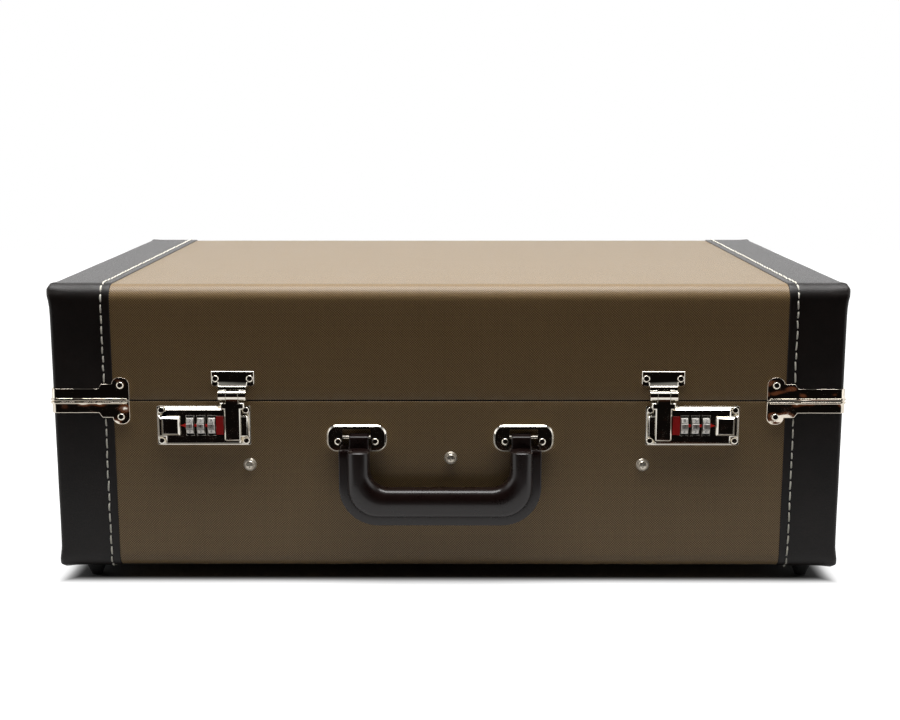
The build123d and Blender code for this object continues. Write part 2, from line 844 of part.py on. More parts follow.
def slide_spring():
    """Coil spring that pushes the bolt back towards the hasp."""
    start = bolt_link_outer - bolt_link_width + spring_tab_inset + spring_tab + spring_wire
    end = works_outer_edge - works_sheet - spring_wire
    path = Helix(pitch=(end - start) / spring_turns, height=end - start, radius=spring_radius,
                 center=(start, front_y + spring_axis_depth, works_z), direction=(1, 0, 0))
    section = Plane(origin=path @ 0, z_dir=path % 0) * Circle(spring_wire / 2)
    return sweep(section, path=path, is_frenet=True)


def hasp():
    """Hinged hasp: tongue, tee, neck and middle knuckle."""
    tongue_top = tee_top_z - tee_height + tongue_corner
    tongue_height = tongue_top - hasp_tip_z
    tongue = Pos(hasp_distance, tongue_top - tongue_height / 2) * Rectangle(
        tongue_width, tongue_height)
    tongue = fillet(tongue.vertices().sort_by(Axis.Y)[:2], radius=tongue_corner)
    tee = Pos(hasp_distance, tee_top_z - tee_height / 2) * Rectangle(tee_width, tee_height)
    tee = fillet(tee.vertices().sort_by(Axis.Y)[:2], radius=tongue_corner)
    sheet = stand(front_plane, tongue + tee, hasp_back, hasp_front)
    sheet = chamfer(facing_edges(sheet, front_plane, hasp_front), length=hasp_bevel)
    neck = front_block(hasp_distance - hasp_knuckle_width / 2,
                       hasp_distance + hasp_knuckle_width / 2, hasp_back, hasp_front,
                       tee_top_z - tee_height / 2, hasp_axis_z)
    axis_y = front_y - hasp_axis_stand
    knuckle = rod_x(hasp_knuckle_radius, hasp_distance - hasp_knuckle_width / 2,
                    hasp_distance + hasp_knuckle_width / 2, axis_y, hasp_axis_z)
    bore = rod_x(hasp_pin_radius + turning_fit, 0, case_width, axis_y, hasp_axis_z)
    return (sheet + neck + knuckle) - bore


def hasp_staple():
    """Loop on the back of the hasp that the bolt holds."""
    half = staple_width / 2
    loop = front_block(hasp_distance - half, hasp_distance + half, staple_foot_gap, hasp_back,
                       staple_z - staple_height / 2, staple_z + staple_height / 2)
    hole_half = bolt_bar_height / 2 + staple_hole_gap
    return loop - front_block(0, case_width, bolt_stand - staple_web,
                              bolt_stand + bolt_sheet + staple_web, staple_z - hole_half,
                              staple_z + hole_half)


def top_plate():
    """Plate on the lid with its sloped shoulder and the two outer knuckles."""
    middle_z = top_plate_bottom + top_plate_height / 2
    outline = Pos(hasp_distance, middle_z) * Rectangle(top_plate_width, top_plate_height)
    outline = fillet(outline.vertices().sort_by(Axis.Y)[:2], radius=top_plate_corner)
    plate = stand(front_plane, outline, 0, top_plate_sheet)
    plate = cut_all(plate, rivet_holes(top_plate_rivet_places(), front_plane))
    axis_y = front_y - hasp_axis_stand
    top = top_plate_bottom + shoulder_slope
    section = make_face(Polyline([
        (front_y, top_plate_bottom),
        (front_y, top),
        (front_y - top_plate_sheet, top),
        (axis_y, top - hasp_axis_stand + top_plate_sheet),
        (axis_y, hasp_axis_z),
        (axis_y + top_plate_sheet, hasp_axis_z),
        (axis_y + top_plate_sheet, top_plate_bottom - hasp_axis_stand + 2 * top_plate_sheet),
    ], close=True))
    low_x = hasp_distance - shoulder_width / 2
    high_x = hasp_distance + shoulder_width / 2
    shoulder = Pos(low_x, 0, 0) * extrude(Plane.YZ * section, amount=shoulder_width)
    barrel = rod_x(hasp_knuckle_radius, hasp_distance - hasp_barrel_width / 2,
                   hasp_distance + hasp_barrel_width / 2, axis_y, hasp_axis_z)
    half_middle = hasp_knuckle_width / 2 + knuckle_gap
    clear = rod_x(hasp_knuckle_radius + hasp_gap, hasp_distance - half_middle,
                  hasp_distance + half_middle, axis_y, hasp_axis_z)
    bore = rod_x(hasp_pin_radius, 0, case_width, axis_y, hasp_axis_z)
    keep = block(low_x - case_width, high_x + case_width, front_y - case_depth, front_y, 0,
                 lid_top)
    return ((plate + shoulder + barrel) - clear - bore) & keep


def hasp_pin():
    """Pin of the hasp."""
    return rod_x(hasp_pin_radius, hasp_distance - hasp_barrel_width / 2,
                 hasp_distance + hasp_barrel_width / 2, front_y - hasp_axis_stand, hasp_axis_z)


# Handle

def handle_plate(plate_x):
    """Cast plate with a window for the handle's loop."""
    outline = Pos(plate_x, handle_pin_z - handle_plate_drop) * RectangleRounded(
        handle_plate_width, handle_plate_height, handle_plate_corner)
    plate = stand(front_plane, outline, 0, handle_plate_thickness)
    plate = chamfer(facing_edges(plate, front_plane, handle_plate_thickness),
                    length=handle_plate_bevel)
    plate -= front_block(plate_x - handle_window_width / 2, plate_x + handle_window_width / 2, 0,
                         2 * handle_plate_thickness, handle_pin_z - handle_window_height / 2,
                         handle_pin_z + handle_window_height / 2)
    plate -= handle_pin(plate_x)
    return cut_all(plate, rivet_holes(handle_rivet_places(), front_plane))


def handle_pin(plate_x):
    """Pin across the window of a handle plate."""
    return rod_x(handle_pin_radius, plate_x - handle_pin_half, plate_x + handle_pin_half,
                 front_y - handle_pin_stand, handle_pin_z)


def u_outline(half_width, top, bottom, radius):
    """Rounded U shape about the middle of the handle, as a filled outline."""
    outline = Pos(handle_offset, (top + bottom) / 2) * Rectangle(2 * half_width, top - bottom)
    return fillet(outline.vertices().sort_by(Axis.Y)[:2], radius=radius)


def handle_core():
    """Steel strip inside the grip."""
    half = leg_spacing / 2 + core_thickness / 2
    top = grip_top - core_top_gap
    bottom = grip_bottom + grip_bar_height / 2 - core_thickness / 2
    middle_radius = (grip_outer_radius + grip_inner_radius) / 2
    strip = u_outline(half, top, bottom, middle_radius) - u_outline(
        half - core_thickness, top, bottom + core_thickness, middle_radius - core_thickness)
    start = grip_back + (grip_thickness - core_width) / 2
    return stand(front_plane, strip, start, start + core_width)


def handle_tab(leg_x):
    """Loop of the grip round a pin, and the neck that joins it to the leg."""
    axis_y = front_y - handle_pin_stand
    x_low = leg_x - tab_width / 2
    x_high = leg_x + tab_width / 2
    loop = rod_x(loop_radius, x_low, x_high, axis_y, handle_pin_z)
    front = grip_back + tab_thickness
    neck = front_block(x_low, x_high, grip_back, front, grip_top - tab_root,
                       handle_pin_z + tab_top)
    neck = fillet(neck.edges().filter_by(Axis.X).group_by(Axis.Z)[-1].sort_by(Axis.Y)[0],
                  radius=tab_round)
    bridge = front_block(x_low, x_high, handle_pin_stand, grip_back,
                         handle_pin_z - loop_radius, handle_pin_z + tab_top)
    bore = rod_x(handle_pin_radius + turning_fit, x_low, x_high, axis_y, handle_pin_z)
    return (loop + neck + bridge) - bore


def handle_grip():
    """Moulded grip with a thin rib round its outer side."""
    outer_half = leg_spacing / 2 + leg_width / 2
    inner_half = leg_spacing / 2 - leg_width / 2
    body = u_outline(outer_half, grip_top, grip_bottom, grip_outer_radius) - u_outline(
        inner_half, grip_top, grip_bottom + grip_bar_height, grip_inner_radius)
    solid = stand(front_plane, body, grip_back, grip_back + grip_thickness)
    long_edges = (facing_edges(solid, front_plane, grip_back)
                  + facing_edges(solid, front_plane, grip_back + grip_thickness))
    long_edges = [e for e in long_edges
                  if not all(abs(v.Z - grip_top) < touching for v in e.vertices())]
    solid = fillet(long_edges, radius=grip_edge_radius)
    rib_start = grip_back + (grip_thickness - grip_flange_thickness) / 2
    rib = u_outline(outer_half + grip_flange, flange_top, grip_bottom - grip_flange,
                    grip_outer_radius + grip_flange) - u_outline(
        outer_half - grip_flange, flange_top, grip_bottom + grip_flange,
        grip_outer_radius - grip_flange)
    rib = stand(front_plane, rib, rib_start, rib_start + grip_flange_thickness)
    for leg_x, _ in leg_places():
        solid += handle_tab(leg_x)
    return (solid + rib) - handle_core()


# Screws, rail and feet

def cup_washer(x, z):
    """Dished washer under a front screw."""
    profile = make_face(Polyline([
        (screw_radius, 0), (cup_radius, 0), (cup_radius - cup_lip, cup_height),
        (screw_head_radius, cup_height), (screw_radius, cup_height / 2)], close=True))
    ring = revolve(Plane.XZ * profile, axis=Axis.Z)
    return front_plane * Pos(x, z, 0) * ring


def front_screw(x, z):
    """Cross-head screw seated in its cup washer."""
    head_low = cup_height / 2
    profile = make_face(Polyline([
        (0, -screw_length), (screw_radius, -screw_length), (screw_radius, head_low),
        (screw_head_radius, cup_height), (screw_crown_radius, cup_height + screw_crown_rise),
        (0, cup_height + screw_head_height)], close=True))
    screw = revolve(Plane.XZ * profile, axis=Axis.Z)
    top = cup_height + screw_head_height - screw_slot_depth / 2
    for width, height in ((screw_slot_length, screw_slot_width),
                          (screw_slot_width, screw_slot_length)):
        screw -= Pos(0, 0, top) * Box(width, height, screw_slot_depth)
    return front_plane * Pos(x, z, 0) * screw


def foot(x, y):
    """Rubber foot, a cut cone with a recess for its screw."""
    height = shell_bottom - leather
    cone = Pos(x, y, height / 2) * Cone(foot_tip_radius, foot_top_radius, height)
    cone -= Pos(x, y, foot_screw_recess / 2) * Cylinder(foot_screw_head_radius + foot_screw_gap,
                                                        foot_screw_recess)
    return cone - Pos(x, y, height / 2) * Cylinder(foot_screw_radius, height)


def foot_screw(x, y):
    """Screw that holds a foot to the wood."""
    low = foot_screw_recess - foot_screw_head_height
    head = Pos(x, y, low + foot_screw_head_height / 2) * Cylinder(foot_screw_head_radius,
                                                                  foot_screw_head_height)
    top = shell_bottom + foot_screw_depth
    shank = Pos(x, y, (low + top) / 2) * Cylinder(foot_screw_radius, top - low)
    return head + shank


def group(pieces):
    """Several separate solids in one node."""
    return Part() + list(pieces)


def both_sides(piece):
    """A piece of the right lock together with its twin on the left."""
    return group([piece, mirrored(piece)])


def all_nodes():
    """Every node of the case by name."""
    cutters = base_cutters()
    base_wood, base_cloth, base_left, base_right = coverings(base_block, cutters)
    lid_wood, lid_cloth, lid_left, lid_right = coverings(lid_block, lid_cutters())
    base_hollow = inner_block(0, shell_bottom + wall, base_top)
    lid_hollow = inner_block(0, lid_bottom, shell_top - wall)
    base_brackets = bracket_pair(above=False)
    lid_brackets = bracket_pair(above=True)
    nodes = {
        "base_shell": cut_all(base_wood - base_hollow, cutters),
        "base_cloth": base_cloth,
        "base_leather_left": base_left,
        "base_leather_right": base_right,
        "base_lining": base_lining(),
        "lip_frame": lip_frame(),
        "foam_insert": foam_insert(),
        "front_rail": front_rail(),
        "base_brackets_left": mirrored(base_brackets),
        "base_brackets_right": base_brackets,
        "base_bracket_rivets": rivet_group(bracket_rivets(above=False)),
        "front_screws": group(front_screw(x, z) for x, z in screw_places()),
        "front_cup_washers": group(cup_washer(x, z) for x, z in screw_places()),
        "feet": group(foot(x, y) for x, y in foot_places()),
        "foot_screws": group(foot_screw(x, y) for x, y in foot_places()),
        "rear_base_leaves": rear_row(rear_leaf(above=False)),
        "rear_hinge_pins": rear_row(rear_pin()),
        "rear_base_rivets": rivet_group([(back_plane, x, z, rear_leaf_sheet)
                                         for x, z in rear_leaf_rivets(above=False)]),
        "lock_plate_left": mirrored(lock_plate()),
        "lock_plate_right": lock_plate(),
        "lock_works_cases": both_sides(works_case()),
        "lock_axles": both_sides(axle()),
        "lock_flags": both_sides(flag()),
        "lock_rivets": rivet_group([(front_plane, x, z, lock_flange)
                                    for x, z in lock_rivet_places()]),
        "handle_plates": group(handle_plate(x) for _, x in leg_places()),
        "handle_pins": group(handle_pin(x) for _, x in leg_places()),
        "handle_rivets": rivet_group([(front_plane, x, z, handle_plate_thickness)
                                      for x, z in handle_rivet_places()]),
        "lid_shell": cut_all(lid_wood - lid_hollow, lid_cutters()),
        "lid_cloth": lid_cloth,
        "lid_leather_left": lid_left,
        "lid_leather_right": lid_right,
        "lid_lining": lid_lining(),
        "lid_pad": lid_pad(),
        "lid_brackets_left": mirrored(lid_brackets),
        "lid_brackets_right": lid_brackets,
        "lid_bracket_rivets": rivet_group(bracket_rivets(above=True)),
        "rear_lid_leaves": rear_row(rear_leaf(above=True)),
        "rear_lid_rivets": rivet_group([(back_plane, x, z, rear_leaf_sheet)
                                        for x, z in rear_leaf_rivets(above=True)]),
        "hasp_top_plates": both_sides(top_plate()),
        "hasp_top_rivets": rivet_group([(front_plane, x, z, top_plate_sheet)
                                        for x, z in top_plate_rivet_places()]),
        "hasp_pins": both_sides(hasp_pin()),
        "handle_grip": handle_grip(),
        "handle_core": handle_core(),
    }
    right_lock = {"slide_button": slide_button(), "slide_bolt": slide_bolt(),
                  "slide_spring": slide_spring(), "hasp": hasp(), "hasp_staple": hasp_staple()}
    for number, x in enumerate(dial_places(), start=1):
        right_lock[f"dial_{number}"] = dial(x)
    for name, piece in right_lock.items():
        nodes[f"{name}_right"] = piece
        nodes[f"{name}_left"] = mirrored(piece)
    return nodes


os.makedirs("parts", exist_ok=True)
for node_name, node_solid in all_nodes().items():
    export_step(node_solid, f"parts/{node_name}.step")
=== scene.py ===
"""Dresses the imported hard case: coverings, stitching, lining, foam, metal, plastic and studio.

Lengths in the classes of the case are millimetres and become metres when a mesh is made.
Lengths in finishes and the studio are metres. X runs to the right, Y away from the front
of the case, Z up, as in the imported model.
"""

import json
import logging
import math
from dataclasses import dataclass
from enum import Enum

import bmesh
import bpy
import numpy as np
from mathutils import Matrix


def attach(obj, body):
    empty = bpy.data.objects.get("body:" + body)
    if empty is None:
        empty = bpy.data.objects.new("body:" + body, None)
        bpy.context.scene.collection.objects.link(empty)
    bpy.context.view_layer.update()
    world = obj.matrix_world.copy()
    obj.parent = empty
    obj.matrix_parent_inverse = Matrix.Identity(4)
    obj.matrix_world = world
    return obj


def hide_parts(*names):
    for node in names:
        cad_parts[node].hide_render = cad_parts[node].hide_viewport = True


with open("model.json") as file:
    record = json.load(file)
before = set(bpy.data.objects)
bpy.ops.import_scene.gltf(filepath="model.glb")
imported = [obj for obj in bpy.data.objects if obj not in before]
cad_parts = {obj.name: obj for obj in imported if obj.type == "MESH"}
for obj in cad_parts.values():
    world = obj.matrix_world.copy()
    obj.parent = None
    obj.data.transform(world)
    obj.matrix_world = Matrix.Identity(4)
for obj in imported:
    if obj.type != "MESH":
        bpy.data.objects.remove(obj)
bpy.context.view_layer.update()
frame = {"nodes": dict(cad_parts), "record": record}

LOG = logging.getLogger("case")
MM = 0.001
SHARP_ANGLE = math.radians(38)
RIGHT_ANGLE = math.pi / 2
WAVES = 6
Colour = tuple[float, float, float, float]
Box = tuple[float, float, float, float]
Array = np.ndarray
Mesh = bpy.types.Mesh
Socket = bpy.types.NodeSocket
Pair = tuple[float, float]
Pairs = tuple[Pair, ...]
Point = tuple[float, float, float]
Shell = tuple[Array, Array, list[Array]]
Outline = tuple[Array, list[tuple[int, ...]]]


class Side(Enum):
    """Which end of the case a piece belongs to."""

    LEFT = -1
    RIGHT = 1

    @property
    def word(self) -> str:
        """Its name as the nodes write it."""
        return self.name.lower()


class Half(Enum):
    """Which half of the case a piece belongs to."""

    BASE = "base"
    LID = "lid"


def linear(red: int, green: int, blue: int) -> Colour:
    """Scene colour for a colour given as it looks on a screen, 0 to 255.

    Args:
        red: Red share.
        green: Green share.
        blue: Blue share.

    Returns:
        The colour in linear light, with full alpha.
    """
    shares = np.array([red, green, blue]) / 255
    light = np.where(shares <= 0.04045, shares / 12.92, ((shares + 0.055) / 1.055) ** 2.4)
    return (float(light[0]), float(light[1]), float(light[2]), 1.0)


# Meshes from arrays


def grid_quads(rows: int, columns: int) -> Array:
    """Corner numbers of every cell of a grid of points, four to a cell, row by row."""
    first = (np.arange(rows - 1)[:, None] * columns + np.arange(columns - 1)).ravel()
    return np.stack([first, first + columns, first + columns + 1, first + 1], axis=1)


def shell_quads(keep: Array) -> Array:
    """Faces of a shell between an outer and an inner grid of points, holes walled.

    A cell stands where keep is true. Each side that a standing cell shares with no
    other standing cell gets a wall between the two grids.

    Args:
        keep: Array of cells by row and column, true where the shell stands.

    Returns:
        Array of quads. Inner points are numbered after all the outer ones.
    """
    rows, columns = keep.shape[0] + 1, keep.shape[1] + 1
    count = rows * columns
    outer = grid_quads(rows, columns)[keep.ravel()]
    number = np.arange(count).reshape(rows, columns)
    quads = [outer, outer[:, ::-1] + count]
    for cells, points in ((keep, number), (keep.T, number.T)):
        padded = np.pad(cells, ((1, 1), (0, 0)))
        edge = padded[1:] != padded[:-1]
        a, b = points[:, :-1][edge], points[:, 1:][edge]
        quads.append(np.stack([a, b, b + count, a + count], axis=1))
    return np.concatenate(quads)


def ring_quads(rings: int, around: int, closed: bool = False) -> Array:
    """Faces between each ring of points and the next.

    Args:
        rings: How many rings there are.
        around: Points in a ring.
        closed: Whether the last ring joins the first.

    Returns:
        Array of quads.
    """
    here = np.arange(around)
    after = (here + 1) % around
    first = np.arange(rings if closed else rings - 1)[:, None] * around
    second = (first + around) % (rings * around)
    quads = np.stack([first + here, first + after, second + after, second + here], axis=-1)
    return quads.reshape(-1, 4)


def loft(rings: list[Array]) -> Shell:
    """Closed skin over rings of points: quads from ring to ring and a face at each end.

    Args:
        rings: Points by three, of the same number in each.

    Returns:
        Points, quads and end faces.
    """
    around = len(rings[0])
    here = np.arange(around)
    ends = [here, (len(rings) - 1) * around + here]
    return np.concatenate(rings), ring_quads(len(rings), around), ends


def join(shells: list[Shell]) -> Shell:
    """Several skins as one, the later ones numbered after the earlier ones.

    Args:
        shells: Points, quads and end faces of each.

    Returns:
        Points, quads and end faces of all.
    """
    points, quads, caps, count = [], [], [], 0
    for shell_points, shell_faces, shell_caps in shells:
        points.append(shell_points)
        quads.append(shell_faces + count)
        caps += [cap + count for cap in shell_caps]
        count += len(shell_points)
    return np.concatenate(points), np.concatenate(quads), caps


def build_mesh(name: str, points: Array, quads: Array, caps: list[Array] | None = None) -> Mesh:
    """Mesh from arrays, its faces turned outwards and its sharp edges marked.

    Args:
        name: Name of the mesh.
        points: Points by three, in millimetres.
        quads: Faces by four corner numbers.
        caps: Further faces of any number of corners.

    Returns:
        The mesh, in metres.
    """
    mesh, caps = bpy.data.meshes.new(name), caps or []
    counts = np.concatenate([np.full(len(quads), 4), [len(cap) for cap in caps]]).astype(np.int32)
    corners = np.concatenate([quads.ravel(), *caps]).astype(np.int32)
    starts = np.concatenate([[0], np.cumsum(counts)[:-1]]).astype(np.int32)
    mesh.vertices.add(len(points))
    mesh.vertices.foreach_set("co", (points * MM).astype(np.float32).ravel())
    mesh.loops.add(len(corners))
    mesh.loops.foreach_set("vertex_index", corners)
    mesh.polygons.add(len(counts))
    mesh.polygons.foreach_set("loop_start", starts)
    mesh.polygons.foreach_set("use_smooth", np.ones(len(counts), bool))
    mesh.update(calc_edges=True)
    mesh.validate()
    work = bmesh.new()
    work.from_mesh(mesh)
    bmesh.ops.recalc_face_normals(work, faces=work.faces)
    work.to_mesh(mesh)
    work.free()
    mesh.set_sharp_from_angle(angle=SHARP_ANGLE)
    return mesh


def set_uv(mesh: Mesh, uv: Array) -> None:
    """Gives a mesh one UV map in metres along its own surface.

    Args:
        mesh: The mesh.
        uv: Points by two, in millimetres.
    """
    corners = np.zeros(len(mesh.loops), np.int32)
    mesh.loops.foreach_get("vertex_index", corners)
    layer = mesh.uv_layers.new(name="surface")
    layer.data.foreach_set("uv", (uv[corners] * MM).astype(np.float32).ravel())


def set_wear(mesh: Mesh, worn: Array) -> None:
    """Gives a mesh its wear, one number a point, for its material to read."""
    attribute = mesh.attributes.new("edge", "FLOAT", "POINT")
    attribute.data.foreach_set("value", worn.astype(np.float32))


def broad_normals(mesh: Mesh) -> Array:
    """Normals at a mesh's vertices that follow its broadest faces.

    Each is the sum of the normals of the faces that meet there, each face counting
    by its area, brought to length 1. So a flat face stays flat up to its soft edge.

    Args:
        mesh: The mesh.

    Returns:
        Vertices by three.
    """
    faces, corners = len(mesh.polygons), len(mesh.loops)
    normal, area = np.empty(faces * 3), np.empty(faces)
    count, vertex = np.empty(faces, np.int32), np.empty(corners, np.int32)
    mesh.polygons.foreach_get("normal", normal)
    mesh.polygons.foreach_get("area", area)
    mesh.polygons.foreach_get("loop_total", count)
    mesh.loops.foreach_get("vertex_index", vertex)
    weighted = normal.reshape(-1, 3) * area[:, None]
    total = np.zeros((len(mesh.vertices), 3))
    np.add.at(total, vertex, np.repeat(weighted, count, axis=0))
    return total / np.maximum(np.linalg.norm(total, axis=1, keepdims=True), 1e-20)


def add_piece(name: str, mesh: Mesh, material: bpy.types.Material, body: str) -> bpy.types.Object:
    """Puts a mesh into the scene as a piece that rides on a body.

    Args:
        name: Name of the piece.
        mesh: Its mesh, already in place.
        material: Its finish.
        body: The body that carries it.

    Returns:
        The object.
    """
    mesh.materials.append(material)
    piece = bpy.data.objects.new(name, mesh)
    bpy.context.scene.collection.objects.link(piece)
    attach(piece, body)
    LOG.info("%s: %d faces on %s", name, len(mesh.polygons), body)
    return piece


def lines_through(stops: list[float], step: float) -> Array:
    """Places of grid lines through every stop, about a step apart between the stops."""
    runs = [np.linspace(a, b, max(1, round((b - a) / step)), endpoint=False)
            for a, b in zip(stops[:-1], stops[1:])]
    return np.concatenate([*runs, [stops[-1]]])


def bell(distance: Array, width: float) -> Array:
    """Bell curve, 1 at distance 0: e to the minus squared share of the width."""
    return np.exp(-(distance / width) ** 2)


def waviness(first: Array, second: Array, scale: float, seed: int) -> Array:
    """Gentle uneven height over a surface, from -1 to 1.

    It is the mean of six sine waves that run in seeded directions, each with its
    own length between half the scale and twice the scale.

    Args:
        first: First coordinate.
        second: Second coordinate, of the same shape.
        scale: Usual length of a wave.
        seed: Seed of the directions, lengths and phases.

    Returns:
        Height at each point.
    """
    draw = np.random.default_rng(seed)
    turn = draw.uniform(0, math.tau, WAVES)
    length = scale * draw.uniform(0.5, 2.0, WAVES)
    phase = draw.uniform(0, math.tau, WAVES)
    along = (first[..., None] * np.cos(turn) + second[..., None] * np.sin(turn)) / length
    return np.sin(math.tau * along + phase).mean(axis=-1)


# Node trees


class Graph:
    """Adds nodes to a tree in one line each."""

    def __init__(self, tree: bpy.types.NodeTree) -> None:
        """Starts with the tree to add to."""
        self.tree = tree

    def add(self, kind: str, settings: dict | None = None, **inputs: object) -> bpy.types.Node:
        """Adds a node.

        Args:
            kind: Node type, without its ShaderNode prefix.
            settings: The node's own options by name.
            inputs: Values or sockets by input name, underscores standing for spaces.

        Returns:
            The node.
        """
        made = self.tree.nodes.new("ShaderNode" + kind)
        for key, value in (settings or {}).items():
            setattr(made, key, value)
        self.fill(made, **inputs)
        return made

    def fill(self, node: bpy.types.Node, **inputs: object) -> None:
        """Feeds a node's inputs by name, underscores standing for spaces."""
        for key, value in inputs.items():
            self.feed(node.inputs[key.replace("_", " ")], value)

    def feed(self, socket: Socket, value: object) -> None:
        """Links a socket to another, or sets its value.

        Args:
            socket: The socket to feed.
            value: A socket or a value.
        """
        if isinstance(value, Socket):
            self.tree.links.new(value, socket)
        else:
            socket.default_value = value

    def work_out(self, kind: str, settings: dict, values: tuple, places: tuple = (0, 1, 2),
                 result: int = 0) -> Socket:
        """Adds a node whose inputs are told by their places.

        Args:
            kind: Node type, without its ShaderNode prefix.
            settings: The node's own options by name.
            values: Values or sockets.
            places: The input that each value goes to.
            result: The output that is wanted.

        Returns:
            The result's socket.
        """
        made = self.add(kind, settings)
        for place, value in zip(places, values):
            self.feed(made.inputs[place], value)
        return made.outputs[result]

    def math(self, operation: str, *values: object) -> Socket:
        """Result of a named sum on one, two or three values or sockets."""
        return self.work_out("Math", {"operation": operation}, values)

    def times(self, first: object, second: object) -> Socket:
        """Product of two numbers."""
        return self.math("MULTIPLY", first, second)

    def plus(self, first: object, second: object) -> Socket:
        """Sum of two numbers."""
        return self.math("ADD", first, second)

    def minus(self, first: object, second: object) -> Socket:
        """First number less the second."""
        return self.math("SUBTRACT", first, second)

    def line(self, value: object, slope: object, start: object) -> Socket:
        """Number times a slope, added to a start."""
        return self.math("MULTIPLY_ADD", value, slope, start)

    def stretch(self, vector: object, shares: Point) -> Socket:
        """Vector with each of its three numbers times its own share."""
        return self.work_out("VectorMath", {"operation": "MULTIPLY"}, (vector, shares))

    def scale(self, vector: object, factor: object) -> Socket:
        """Vector made longer or shorter by a factor."""
        return self.work_out("VectorMath", {"operation": "SCALE"}, (vector, factor), (0, "Scale"))

    def push(self, vector: object, way: tuple, factor: float) -> Socket:
        """Vector with a factor times another added, which is given by its numbers."""
        shift = self.scale(self.combine(*way), factor)
        return self.work_out("VectorMath", {"operation": "ADD"}, (vector, shift))

    def combine(self, *numbers: object) -> Socket:
        """Vector of up to three numbers."""
        return self.work_out("CombineXYZ", {}, numbers)

    def mix(self, share: object, low: object, high: object) -> Socket:
        """Number between two others, the first at share 0 and the second at share 1."""
        return self.work_out("Mix", {"data_type": "FLOAT"}, (share, low, high), (0, 2, 3))

    def blend(self, share: object, low: object, high: object, way: str = "MIX") -> Socket:
        """Colour between two others, the first at share 0 and the second at share 1."""
        return self.work_out("Mix", {"data_type": "RGBA", "blend_type": way},
                             (share, low, high), (0, 6, 7), 2)

    def tint(self, colour: object, share: object, strength: float, towards: Colour) -> Socket:
        """Colour that goes towards another by a share times a strength."""
        return self.blend(self.times(share, strength), colour, towards)

    def spread(self, value: object, low: float, high: float, start: float = 0.0,
               end: float = 1.0) -> Socket:
        """Number carried smoothly from the range low to high into the range start to end."""
        return self.add("MapRange", {"interpolation_type": "SMOOTHSTEP"}, Value=value,
                        From_Min=low, From_Max=high, To_Min=start, To_Max=end).outputs[0]

    def noise(self, vector: object, scale: float, detail: float = 3.0,
              roughness: float = 0.55) -> Socket:
        """Soft noise from 0 to 1, its scale in features to a metre."""
        return self.add("TexNoise", Vector=vector, Scale=scale, Detail=detail,
                        Roughness=roughness).outputs[0]

    def own_number(self, value: object) -> Socket:
        """Random number that belongs to a whole number."""
        return self.add("TexWhiteNoise", {"noise_dimensions": "1D"}, W=value).outputs[0]

    def place(self) -> Socket:
        """Place on the object, in metres."""
        return self.add("TexCoord").outputs["Object"]

    def surface(self) -> Socket:
        """Place along the piece's own surface, in metres."""
        return self.add("UVMap", {"uv_map": "surface"}).outputs[0]

    def wear_map(self) -> Socket:
        """Wear that the mesh holds for each point."""
        return self.add("Attribute", {"attribute_name": "edge"}).outputs["Fac"]

    def bump(self, height: object, distance: float, strength: float = 1.0,
             normal: object = None) -> Socket:
        """Normal of a surface with a height on it.

        Args:
            height: Height from 0 to 1.
            distance: What a height of 1 stands for, in metres.
            strength: Share of the effect.
            normal: A normal to add to, if any.

        Returns:
            The normal's socket.
        """
        made = self.add("Bump", Height=height, Distance=distance, Strength=strength)
        if normal is not None:
            self.feed(made.inputs["Normal"], normal)
        return made.outputs[0]


